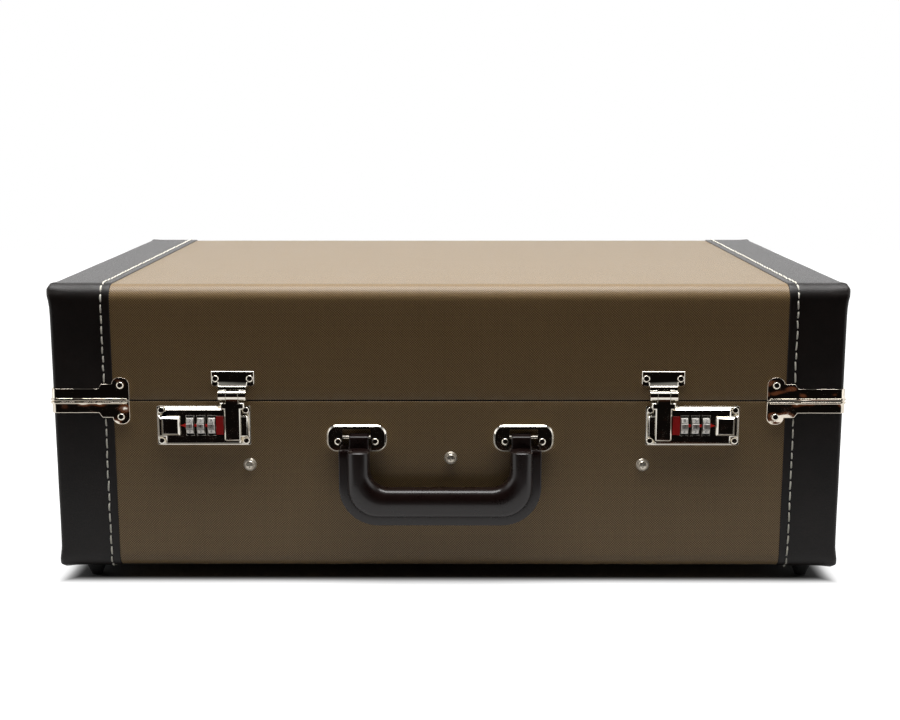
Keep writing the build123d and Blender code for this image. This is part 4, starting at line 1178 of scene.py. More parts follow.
@dataclass(frozen=True)
class Coverings:
    """Tweed over the middle of the case and leather over its ends, with the stitching."""

    finishes: Finishes
    step: float = 5.0
    pocket_x: Pair = (162.95, 204.2)
    pocket_z: Pair = (108.8, 125.2)
    cloth_back: float = SIZES.cloth * 0.8
    cloth_wave: float = 0.07
    wear_reach: float = 3.0
    binding_lines: int = 9
    binding_inset: float = 1.3
    binding_foot: float = 0.02
    binding_back: float = 0.12
    binding_rise: float = 0.26
    binding_corner: float = 4.0

    def build(self) -> None:
        """Makes the coverings of both halves."""
        for half in Half:
            self.cloth(half)
            self.rim_binding(half)
            for side in Side:
                LeatherEnd(self.finishes, half, side).build()

    def cloth(self, half: Half) -> None:
        """Cloth of one half: its section carried along X, with the locks' openings.

        A point is the section's point at one distance, moved out by a slight waviness
        and in where it rolls over the rim. The inner side is the same, further in.

        Args:
            half: The half to cover.
        """
        section = Section(half, SIZES.cloth)
        opening = tuple(SIZES.base_top - z for z in self.pocket_z[::-1])
        run = section.lines(self.step, opening if half is Half.BASE else ())
        inner, outer = self.pocket_x
        edge = SIZES.leather_edge
        stops = [-edge, -outer, -inner, inner, outer, edge] if half is Half.BASE else [-edge, edge]
        across = lines_through(stops, self.step)
        x, s = np.meshgrid(across, run)
        points, out = section.at(s)
        lift = self.cloth_wave * waviness(x, s, 60.0, 3) - section.rim_inset(s)
        keep = np.ones((len(run) - 1, len(across) - 1), bool)
        if half is Half.BASE:
            middle_s, middle_x = (run[1:] + run[:-1]) / 2, (across[1:] + across[:-1]) / 2
            in_s = (middle_s > opening[0]) & (middle_s < opening[1])
            in_x = (np.abs(middle_x) > inner) & (np.abs(middle_x) < outer)
            keep = ~(in_s[:, None] & in_x[None, :])
        skins = []
        for depth in (0.0, self.cloth_back):
            flat = points + out * (lift - depth)[..., None]
            skins.append(np.concatenate([x[..., None], flat], axis=-1).reshape(-1, 3))
        name = f"{half.value}_tweed"
        mesh = build_mesh(name, np.concatenate(skins), shell_quads(keep))
        set_uv(mesh, np.tile(np.stack([x.ravel(), s.ravel()], axis=1), (2, 1)))
        set_wear(mesh, np.tile(np.exp(-section.from_rim(s) / self.wear_reach).ravel(), 2))
        piece = add_piece(name, mesh, self.finishes.tweed, half.value)
        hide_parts(f"{half.value}_cloth")

    def rim_binding(self, half: Half) -> None:
        """Thin binding over the wooden rim: a low arch carried round the mouth.

        Args:
            half: The half that carries it.
        """
        sign = 1.0 if half is Half.BASE else -1.0
        share = np.linspace(0, 1, self.binding_lines)
        inset = self.binding_inset + (SIZES.wall + 0.1) * share
        rise = self.binding_foot + self.binding_rise * np.sin(math.pi * share) ** 0.35
        inset = np.concatenate([inset, inset[::-1]])
        rise = np.concatenate([rise, np.full(self.binding_lines, -self.binding_back)])
        ring = Ring(SIZES.half_width, SIZES.half_depth + SIZES.cloth, self.binding_corner)
        points, quads = ring.carry(inset, SIZES.rim(half) + sign * rise, closed=True)
        name = f"{half.value}_rim_binding"
        mesh = build_mesh(name, points, quads)
        set_wear(mesh, np.zeros(len(points)))
        add_piece(name, mesh, self.finishes.binding, half.value)


@dataclass(frozen=True)
class Ring:
    """Rounded rectangle about the middle of the case, seen from above."""

    half_x: float
    half_y: float
    corner: float
    step: float = 6.0
    corner_lines: int = 7

    def base_points(self) -> tuple[Array, Array]:
        """Points round the rectangle at its outermost, and the way out at each.

        Four times a quarter circle and then a straight side, each side the one before
        it turned by a right angle.
        """
        turn = np.linspace(0, RIGHT_ANGLE, self.corner_lines)
        runs = [np.linspace(-1, 1, max(4, round(half / self.step)))[1:-1]
                for half in (self.half_x, self.half_y)]
        core = np.array([self.half_x - self.corner, self.half_y - self.corner])
        points, ways = [], []
        for quarter, signs in enumerate(((1, 1), (-1, 1), (-1, -1), (1, -1))):
            angle = turn + quarter * RIGHT_ANGLE
            out = np.stack([np.cos(angle), np.sin(angle)], axis=1)
            flip = 1 if quarter < 2 else -1
            if quarter % 2 == 0:
                way = np.array([0.0, 1.0])
                side = np.stack([-runs[0] * core[0], np.full_like(runs[0], self.half_y)], axis=1)
            else:
                way = np.array([-1.0, 0.0])
                side = np.stack([np.full_like(runs[1], -self.half_x), -runs[1] * core[1]], axis=1)
            points += [np.array(signs) * core + self.corner * out, side * flip]
            ways += [out, np.broadcast_to(way * flip, side.shape)]
        return np.concatenate(points), np.concatenate(ways)

    def carry(self, inset: Array, height: Array, closed: bool) -> tuple[Array, Array]:
        """A profile carried round the rectangle.

        Args:
            inset: Distance inwards at each point of the profile.
            height: Height of each point of the profile.
            closed: Whether the profile's ends join.

        Returns:
            Points by three, and quads.
        """
        outline, out = self.base_points()
        flat = outline[None] - out[None] * inset[:, None, None]
        flat = flat + np.array([0.0, SIZES.middle_y])
        tall = np.broadcast_to(height[:, None, None], flat.shape[:2] + (1,))
        points = np.concatenate([flat, tall], axis=-1).reshape(-1, 3)
        return points, ring_quads(len(inset), len(outline), closed)


def rectangle_loop(points: Array, box: Box, radius: float, full: float,
                   bow: Array | float = 0.0) -> Array:
    """Points of a rectangle moved on to a rounded one inside it.

    Each point looks back to the nearest place of the rectangle drawn in by full,
    and takes its new place at the radius from there, lengthened by the bow.

    Args:
        points: Points on the rectangle, by two.
        box: The rectangle, as low X, high X, low Y, high Y.
        radius: Distance of the new outline from the drawn-in rectangle.
        full: How far the rectangle is drawn in.
        bow: How much further out each point goes.

    Returns:
        The new points.
    """
    low = np.array([box[0] + full, box[2] + full])
    high = np.array([box[1] - full, box[3] - full])
    core = np.clip(points, low, high)
    away = points - core
    ring = core + away / np.linalg.norm(away, axis=1, keepdims=True) * radius
    return ring + (ring - np.clip(ring, low, high)) * np.reshape(bow / radius, (-1, 1))


def border(rows: Array, columns: Array, width: int) -> Array:
    """Point numbers round the rectangle between two rows and two columns of a grid."""
    (low, high), (left, right) = rows, columns
    return np.concatenate([low * width + np.arange(left, right),
                           np.arange(low, high) * width + right,
                           high * width + np.arange(right, left, -1),
                           np.arange(high, low, -1) * width + left])


def skirt(loop: Array, rings: int, count: int) -> tuple[Array, Array]:
    """Faces from a loop over rings of points that follow count, and the last ring's numbers."""
    number = np.concatenate([loop, count + np.arange(rings * len(loop))])
    return number[ring_quads(rings + 1, len(loop))], number[-len(loop):]


@dataclass(frozen=True)
class Inside:
    """Lining, foam insert and lid pad."""

    finishes: Finishes
    cavity_x: float = 272.4
    cavity_y: float = 165.7
    cavity_corner: float = 2.5
    lip_thickness: float = 4.0
    lip_depth: float = 12.0
    lining_inset: tuple[float, ...] = (30, 1.0, 0.1, 0.1, 0.3, 0.75, 1.0, 1.0, 1.0, 1.0, 1.6, 3.0,
                                       30)
    lining_back: tuple[float, ...] = (0.1, 0.1, 0.1)
    lining_rim: tuple[float, ...] = (0.5, 0.1, 0.1, 0.4, 20)
    lining_floor: tuple[float, ...] = (30, 3.5, 1.7, 1.0, 1.0)
    lining_wave: float = 0.25
    foam_gap: float = 0.5
    foam_top: float = 127.6
    foam_floor: float = 18.0
    foam_rib: float = 20.0
    foam_soften: float = 1.5
    foam_step: float = 9.0
    foam_wave: float = 0.15
    foam_foot: Pairs = ((0.0, 1.5), (0.4, 0.4), (1.5, 0.0))
    pocket_corner: float = 8.0
    pocket_lines: tuple[float, ...] = (0.0, 0.2, 0.45, 0.7, 1.0)
    pocket_bow: float = 0.35
    pocket_calm: float = 20.0
    left_width: float = 280.0
    near_depths: Pair = (100.0, 150.0)
    pad_gap: float = 2.0
    pad_corner: float = 12.0
    pad_thickness: float = 30.0
    pad_soften: float = 4.0
    pad_step: float = 3.0
    pad_clear: float = 0.2
    pad_border: float = 4.0
    pad_fade: float = 16.0
    peak_pitch: float = 29.0
    peak_rise: float = 5.5

    def build(self) -> None:
        """Makes all the soft pieces inside."""
        floor, top = SIZES.shell_bottom + SIZES.wall, SIZES.shell_top - SIZES.wall
        self.lining(Half.BASE, SIZES.base_top - self.lip_depth, floor, 1)
        self.lining(Half.LID, SIZES.lid_bottom, top, -1)
        self.foam_insert()
        self.lid_pad()

    def lining(self, half: Half, rim: float, floor: float, way: int) -> None:
        """Plush of one half: a profile carried round the cavity, closed at both ends.

        The profile goes over the back of the floor, up beside the wood, over the rim,
        down the wall, round a soft corner and over the floor. Two faces close it.

        Args:
            half: The half that carries it.
            rim: Height where it ends.
            floor: Height of the wood that it lies on.
            way: 1 where the rim is above the floor, or -1.
        """
        back, below, above = (way * np.array(row) for row in (
            self.lining_back, self.lining_rim, self.lining_floor))
        height = np.concatenate([floor + back, rim - below, floor + above])
        ring = Ring(self.cavity_x, self.cavity_y, self.cavity_corner)
        points, quads = ring.carry(np.array(self.lining_inset), height, closed=False)
        around = len(points) // len(height)
        wave = self.lining_wave * waviness(points[:, 0] + points[:, 1], points[:, 2], 50.0, 23)
        shift = np.abs(wave) * (points[:, 2] != height[0])
        points[:, 0] -= np.sign(points[:, 0]) * shift
        points[:, 1] -= np.sign(points[:, 1] - SIZES.middle_y) * shift
        caps = [np.arange(around), (len(height) - 1) * around + np.arange(around)]
        name = f"{half.value}_plush"
        mesh = build_mesh(name, points, quads, caps)
        piece = add_piece(name, mesh, self.finishes.plush, half.value)
        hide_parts(f"{half.value}_lining")

    def foam_half(self) -> Pair:
        """Half the foam insert's width and depth."""
        narrower = self.lip_thickness + self.foam_gap
        return self.cavity_x - narrower, self.cavity_y - narrower

    def pockets(self) -> list[Box]:
        """Extents of the four pockets, as low X, high X, low Y, high Y."""
        half_x, half_y = self.foam_half()
        left, right = -half_x + self.foam_rib, half_x - self.foam_rib
        near = SIZES.middle_y - half_y + self.foam_rib
        far = SIZES.middle_y + half_y - self.foam_rib
        split = left + self.left_width
        boxes = []
        for x_low, x_high, depth in ((left, split, self.near_depths[0]),
                                     (split + self.foam_rib, right, self.near_depths[1])):
            boxes.append((x_low, x_high, near, near + depth))
            boxes.append((x_low, x_high, near + depth + self.foam_rib, far))
        return boxes

    def foam_lines(self, outer: Box, wide: list[Box], full: float) -> list[Array]:
        """Grid lines of the foam's top along X and along Y.

        Args:
            outer: Extents of its flat top.
            wide: Extents of the openings in it.
            full: Length over which an opening's corner turns.

        Returns:
            Places along X, and places along Y.
        """
        lines = []
        for low, high in ((0, 1), (2, 3)):
            marks = {outer[low], outer[high]}
            for box in wide:
                for share in self.pocket_lines:
                    marks |= {box[low] + share * full, box[high] - share * full}
            lines.append(lines_through(sorted(marks), self.foam_step))
        return lines

    def foam_wall(self, start: Array, box: Box, full: float, deep: float,
                  pocket: bool) -> list[Array]:
        """Rings of points down a wall of the foam, from its rounded edge to its foot.

        The edge is a quarter circle. A pocket's wall bows by a slight waviness.

        Args:
            start: Points of the top's edge.
            box: Extents of the opening, or of the flat top.
            full: Length over which a pocket's corner turns.
            deep: Depth of the wall.
            pocket: Whether it is a pocket's wall, and not the outside.

        Returns:
            The rings.
        """
        turn, soften = np.linspace(0, RIGHT_ANGLE, 5)[1:], self.foam_soften
        profile = [*zip(soften * np.sin(turn), soften * (1 - np.cos(turn))),
                   (soften, deep * 0.5), *((soften + inset, deep - up)
                                           for inset, up in self.foam_foot)]
        rings = []
        for inset, drop in profile:
            if pocket:
                bow = self.pocket_bow * waviness(start[:, 0] + start[:, 1], drop + 0 * start[:, 0],
                                                 40.0, 9) * min(1.0, drop / self.pocket_calm)
                ring = rectangle_loop(start[:, :2], box, full - inset, full, bow)
            else:
                ring = rectangle_loop(start[:, :2], box, soften + min(inset, soften), soften)
            rings.append(np.column_stack([ring, np.minimum(self.foam_top - drop, start[:, 2])]))
        return rings

    def foam_insert(self) -> None:
        """Foam block with four pockets, its cut edges slightly rounded.

        The top is a grid whose lines follow the pockets' edges, with those cells left
        out. Each pocket and the outside go on from the grid's own edge points: ring
        after ring, round the edge by a quarter circle, down the wall, and closed.
        """
        soften = self.foam_soften
        half_x, half_y = self.foam_half()
        outer = (-half_x + soften, half_x - soften, SIZES.middle_y - half_y + soften,
                 SIZES.middle_y + half_y - soften)
        wide = [(x0 - soften, x1 + soften, y0 - soften, y1 + soften)
                for x0, x1, y0, y1 in self.pockets()]
        full = self.pocket_corner + soften
        lines_x, lines_y = self.foam_lines(outer, wide, full)
        x, y = np.meshgrid(lines_x, lines_y)
        top = self.foam_top + self.foam_wave * waviness(x, y, 70.0, 5)
        flat = np.stack([x, y, top], axis=-1).reshape(-1, 3)
        middle_x, middle_y = (lines_x[1:] + lines_x[:-1]) / 2, (lines_y[1:] + lines_y[:-1]) / 2
        keep = np.ones((len(lines_y) - 1, len(lines_x) - 1), bool)
        for x0, x1, y0, y1 in wide:
            keep &= ~(((middle_y > y0) & (middle_y < y1))[:, None]
                      & ((middle_x > x0) & (middle_x < x1))[None, :])
        points, quads, caps = [flat], [grid_quads(*x.shape)[keep.ravel()]], []
        count = len(flat)
        depth = self.foam_top - (SIZES.shell_bottom + SIZES.wall + SIZES.lining)
        for box in [*wide, outer]:
            near = [edge - 1e-6 for edge in box]
            loop = border(np.searchsorted(lines_y, near[2:]), np.searchsorted(lines_x, near[:2]),
                          len(lines_x))
            pocket = box is not outer
            rings = self.foam_wall(flat[loop], box, full, depth - self.foam_floor * pocket, pocket)
            wall, last = skirt(loop, len(rings), count)
            points += rings
            quads.append(wall)
            caps.append(last)
            count += len(rings) * len(loop)
        mesh = build_mesh("foam_block", np.concatenate(points), np.concatenate(quads), caps)
        self.drop_loose(mesh)
        piece = add_piece("foam_block", mesh, self.finishes.foam, "base")
        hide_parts("foam_insert")

    def drop_loose(self, mesh: Mesh) -> None:
        """Takes out points that no face uses.

        Args:
            mesh: The mesh.
        """
        work = bmesh.new()
        work.from_mesh(mesh)
        loose = [point for point in work.verts if not point.link_faces]
        bmesh.ops.delete(work, geom=loose, context="VERTS")
        work.to_mesh(mesh)
        work.free()

    def lid_pad(self) -> None:
        """Egg-crate foam under the lid's top.

        The face that looks down is a grid whose height is the product of two cosines.
        It fades to a plain rounded border, and the sides and back close it.
        """
        half_x = self.cavity_x - SIZES.lining - self.pad_gap
        half_y = self.cavity_y - SIZES.lining - self.pad_gap
        soften, full = self.pad_soften, self.pad_corner
        back = SIZES.shell_top - SIZES.wall - SIZES.lining
        low = back - self.pad_thickness + self.pad_clear
        box = (-half_x + soften, half_x - soften, SIZES.middle_y - half_y + soften,
               SIZES.middle_y + half_y - soften)
        lines_x, lines_y = (lines_through([a, a + full, b - full, b], self.pad_step)
                            for a, b in (box[:2], box[2:]))
        x, y = np.meshgrid(lines_x, lines_y)
        near = np.minimum(np.minimum(x - box[0], box[1] - x), np.minimum(y - box[2], box[3] - y))
        fade = np.clip((near - self.pad_border) / self.pad_fade, 0, 1)
        fade = fade * fade * (3 - 2 * fade)
        wave = 1 + np.cos(math.tau * x / self.peak_pitch) * np.cos(
            math.tau * (y - SIZES.middle_y) / self.peak_pitch)
        height = low + (self.peak_rise * wave) * fade
        flat = np.stack([x, y, height], axis=-1).reshape(-1, 3)
        loop = border(np.array([0, len(lines_y) - 1]), np.array([0, len(lines_x) - 1]),
                      len(lines_x))
        flat[loop, :2] = rectangle_loop(flat[loop, :2], box, full, full)
        turn = np.linspace(0, RIGHT_ANGLE, 5)[1:]
        profile = [*zip(soften * np.sin(turn), low + soften * (1 - np.cos(turn))),
                   (soften, back - 0.5), (soften, back - self.pad_clear)]
        rings = [np.column_stack([rectangle_loop(flat[loop, :2], box, full + out, full),
                                  np.full(len(loop), tall)]) for out, tall in profile]
        wall, last = skirt(loop, len(rings), len(flat))
        mesh = build_mesh("lid_foam", np.concatenate([flat, *rings]),
                          np.concatenate([grid_quads(*x.shape), wall]), [last])
        piece = add_piece("lid_foam", mesh, self.finishes.foam, "lid")
        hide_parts("lid_pad")


@dataclass(frozen=True)
class Grip:
    """Moulded grip of the handle: a crowned bar bent to a U, its rib, and two loops."""

    finishes: Finishes
    front_y: float = -166.15
    middle_x: float = -5.5
    leg_spacing: float = 115.0
    leg_width: float = 16.2
    bar_height: float = 21.0
    top: float = 99.8
    bottom: float = 52.2
    back: float = 5.0
    thickness: float = 15.0
    outer_radius: float = 22.0
    inner_radius: float = 13.0
    bar_powers: Pair = (2.5, 2.35)
    rib_reach: float = 6.0
    rib_root: float = 3.0
    rib_thickness: float = 4.0
    rib_powers: Pair = (12.0, 3.0)
    back_power: float = 6.0
    around: int = 40
    leg_lines: int = 7
    corner_lines: int = 17
    half_bar_lines: int = 13
    end_rings: Pairs = ((0.55, 1.5), (0.86, 0.8))
    pin_z: float = 108.2
    pin_stand: float = 3.3
    loop_radius: float = 2.75
    loop_arc: Pair = (math.radians(60), math.radians(270))
    tab_half: float = 6.75
    tab_thickness: float = 3.2
    tab_rise: float = 1.6
    tab_overlap: float = 1.5
    shoulder_radius: float = 2.3
    tab_sides: Pairs = (
        (-1.0, 0.45), (-0.97, 0.12), (-0.92, 0.0), (0.92, 0.0), (0.97, 0.12), (1.0, 0.45))

    def build(self) -> None:
        """Makes the grip's piece."""
        half = self.leg_spacing / 2
        side, reach, root = half + self.leg_width / 2, self.rib_reach, self.rib_root
        outer = self.outline(side, self.bottom, self.outer_radius)
        inner = self.outline(half - self.leg_width / 2, self.bottom + self.bar_height,
                             self.inner_radius)
        rib_out = self.outline(side + reach, self.bottom - reach, self.outer_radius + reach)
        rib_in = self.outline(side - root, self.bottom + root, self.outer_radius - root)
        rib_back = self.back + (self.thickness - self.rib_thickness) / 2
        shells = [self.bar(outer, inner, self.back, self.thickness, self.bar_powers),
                  self.bar(rib_out, rib_in, rib_back, self.rib_thickness, self.rib_powers)]
        shells += [self.tab(self.middle_x + sign * half) for sign in (-1, 1)]
        mesh = build_mesh("grip_moulding", *join(shells))
        piece = add_piece("grip_moulding", mesh, self.finishes.grip, "handle")
        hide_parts("handle_grip")

    def outline(self, half: float, bottom: float, radius: float) -> Array:
        """U line: down one leg, round a quarter circle, along the bar, and up again.

        Args:
            half: Half its width.
            bottom: Height of its lowest line.
            radius: Radius of its two corners.

        Returns:
            Points by two, X and Z. Equal rows of two such lines face each other.
        """
        turn = np.linspace(0, RIGHT_ANGLE, self.corner_lines)
        leg = np.linspace(self.top, bottom + radius, self.leg_lines)
        left = np.stack([np.full_like(leg, -half), leg], axis=1)
        corner = np.stack([-half + radius - radius * np.cos(turn),
                           bottom + radius - radius * np.sin(turn)], axis=1)
        run = np.linspace(-half + radius, 0, self.half_bar_lines)
        bar = np.stack([run, np.full_like(run, bottom)], axis=1)
        side = np.concatenate([left, corner[1:], bar[1:]])
        return np.concatenate([side, side[-2::-1] * np.array([-1.0, 1.0])])

    def bar(self, outer: Array, inner: Array, back: float, thickness: float,
            powers: Pair) -> Shell:
        """Closed bar between two lines, its section a superellipse crowned in front.

        Across the bar a point lies at the signed power of a cosine, and in its depth
        at the signed power of a sine. Two smaller rings and a face close each end.

        Args:
            outer: Outer line.
            inner: Inner line.
            back: Stand of its back over the case's front.
            thickness: Its depth.
            powers: Power of the section across the bar, and in front.

        Returns:
            Points, quads and end faces.
        """
        turn = np.arange(self.around) * math.tau / self.around
        cosine, sine = np.cos(turn), np.sin(turn)
        power = np.where(sine > 0, powers[1], self.back_power)
        across = np.sign(cosine) * np.abs(cosine) ** (2 / powers[0])
        depth = np.sign(sine) * np.abs(sine) ** (2 / power)
        first = [(shrink, rise, 0) for shrink, rise in self.end_rings]
        last = [(shrink, rise, -1) for shrink, rise in self.end_rings[::-1]]
        body = [(1.0, 0.0, row) for row in range(len(outer))]
        rings = []
        for shrink, rise, row in first + body + last:
            middle, reach = (outer[row] + inner[row]) / 2, (outer[row] - inner[row]) / 2
            flat = middle + np.array([0, rise]) + reach * (shrink * across)[:, None]
            stand = back + thickness / 2 * (1 + shrink * depth)
            rings.append(np.column_stack([flat[:, 0] + self.middle_x, self.front_y - stand,
                                          flat[:, 1]]))
        return loft(rings)

    def tab(self, leg_x: float) -> Shell:
        """Loop of the grip round a pin: its outline in Y and Z, carried along X.

        The outline goes up the strap's front, over a rounded shoulder, round the pin
        by an arc and back down inside. It is drawn in a little at both sides.

        Args:
            leg_x: Middle of the leg.

        Returns:
            Points, quads and end faces.
        """
        front, low = self.back + self.tab_thickness, self.top - self.tab_overlap
        turn = np.linspace(0, RIGHT_ANGLE, 7)
        round_stand = front - self.shoulder_radius + self.shoulder_radius * np.cos(turn)
        round_z = (self.pin_z + self.tab_rise - self.shoulder_radius
                   + self.shoulder_radius * np.sin(turn))
        loop = np.linspace(*self.loop_arc, self.corner_lines)
        loop_stand = self.pin_stand + self.loop_radius * np.cos(loop)
        loop_z = self.pin_z + self.loop_radius * np.sin(loop)
        stand = np.concatenate([[front, front], round_stand, loop_stand, [self.back, self.back]])
        z = np.concatenate([[low, (low + self.pin_z) / 2], round_z, loop_z,
                            [self.pin_z - self.loop_radius, low]])
        middle = np.array([stand.mean(), z.mean()])
        away = np.stack([stand, z], axis=1) - middle
        length = np.linalg.norm(away, axis=1, keepdims=True)
        rings = []
        for x, inset in self.tab_sides:
            flat = middle + away * (1 - inset / length)
            rings.append(np.column_stack([np.full(len(flat), leg_x + x * self.tab_half),
                                          self.front_y - flat[:, 0], flat[:, 1]]))
        return loft(rings)


@dataclass(frozen=True)
class LockMarks:
    """Numerals on the wheels and red marks on the lock plates."""

    finishes: Finishes
    front_y: float = -166.15
    axis_stand: float = 1.7
    works_z: float = 117.0
    wheel_radius: float = 7.0
    faces: int = 10
    first_face: int = 3
    letter_size: float = 3.45
    letter_half_depth: float = 0.03
    letter_width: float = 0.92
    plate_front: float = 5.0
    wheel_places: tuple[float, ...] = (167.1, 174.75, 182.4)
    window_half: float = 2.85
    button_edge: float = 189.3
    arrow_half: float = 1.45
    overlap: float = 0.1
    line_gap: float = 0.05
    line_halves: Pair = (1.15, 0.75)
    stands: Pair = (0.02, 0.12)

    def build(self) -> None:
        """Makes the marks of both locks."""
        shapes = [self.numeral(str(number)) for number in range(self.faces)]
        for side in Side:
            for number, place in enumerate(self.wheel_places, start=1):
                self.wheel_numerals(side, number, place, shapes)
            self.red_marks(side)

    def numeral(self, sign: str) -> Outline:
        """Flat numeral with a slight thickness.

        Args:
            sign: The numeral.

        Returns:
            Its points about its middle, in millimetres, and its faces.
        """
        curve = bpy.data.curves.new("numeral", "FONT")
        curve.body = sign
        curve.size = self.letter_size
        curve.extrude = self.letter_half_depth
        curve.resolution_u = 3
        curve.align_x, curve.align_y = "CENTER", "CENTER"
        text = bpy.data.objects.new("numeral", curve)
        bpy.context.scene.collection.objects.link(text)
        bpy.context.view_layer.update()
        graph = bpy.context.evaluated_depsgraph_get()
        mesh = bpy.data.meshes.new_from_object(text.evaluated_get(graph))
        points = np.array([point.co for point in mesh.vertices])
        points[:, :2] -= (points[:, :2].max(axis=0) + points[:, :2].min(axis=0)) / 2
        faces = [tuple(face.vertices) for face in mesh.polygons]
        bpy.data.objects.remove(text)
        bpy.data.curves.remove(curve)
        bpy.data.meshes.remove(mesh)
        return points, faces

    def wheel_numerals(self, side: Side, number: int, place: float, shapes: list[Outline]) -> None:
        """Numerals 0 to 9 round one wheel, each on its own flat.

        A numeral's width runs along X, its height along the flat, and its thickness
        out from the axis. Flats follow each other by a tenth of a turn.

        Args:
            side: The lock.
            number: The wheel.
            place: The wheel's middle along X.
            shapes: The flat numerals.
        """
        flat = self.wheel_radius * math.cos(math.pi / self.faces)
        points, faces, count = [], [], 0
        for digit, (outline, outline_faces) in enumerate(shapes):
            turn = math.tau * ((digit + self.first_face * number) % self.faces) / self.faces
            out = np.array([-math.cos(turn), math.sin(turn)])
            up = np.array([math.sin(turn), math.cos(turn)])
            plane = out[None] * (flat + outline[:, 2:3]) + up[None] * outline[:, 1:2]
            x = side.value * place + outline[:, 0] * self.letter_width
            points.append(np.column_stack([x, plane[:, 0] + self.front_y - self.axis_stand,
                                           plane[:, 1] + self.works_z]))
            faces += [tuple(corner + count for corner in face) for face in outline_faces]
            count += len(outline)
        name = f"numerals_{number}_{side.word}"
        mesh = bpy.data.meshes.new(name)
        mesh.from_pydata(np.concatenate(points) * MM, [], faces)
        mesh.validate()
        add_piece(name, mesh, self.finishes.ink, f"wheel_{number}_{side.word}")

    def red_marks(self, side: Side) -> None:
        """Arrow between the button and the wheels, and the line's marks between wheels.

        Each is a flat polygon just above the plate's face, given a slight thickness.

        Args:
            side: The lock.
        """
        last = self.wheel_places[-1] + self.window_half + self.overlap
        outlines = [np.array([[self.button_edge - self.overlap, 0.0], [last, self.arrow_half],
                              [last, -self.arrow_half]])]
        wide, narrow = self.line_halves
        reach = self.window_half + self.line_gap
        for left, right in zip(self.wheel_places[:-1], self.wheel_places[1:]):
            low, high = left + reach, right - reach
            outlines.append(np.array([[high, narrow], [low, wide], [low, -wide], [high, -narrow]]))
        shells = [loft([np.column_stack([side.value * outline[:, 0],
            np.full(len(outline), self.front_y - self.plate_front - stand),
            outline[:, 1] + self.works_z]) for stand in self.stands]) for outline in outlines]
        name = f"lock_marks_{side.word}"
        mesh = build_mesh(name, *join(shells))
        add_piece(name, mesh, self.finishes.mark, "base")


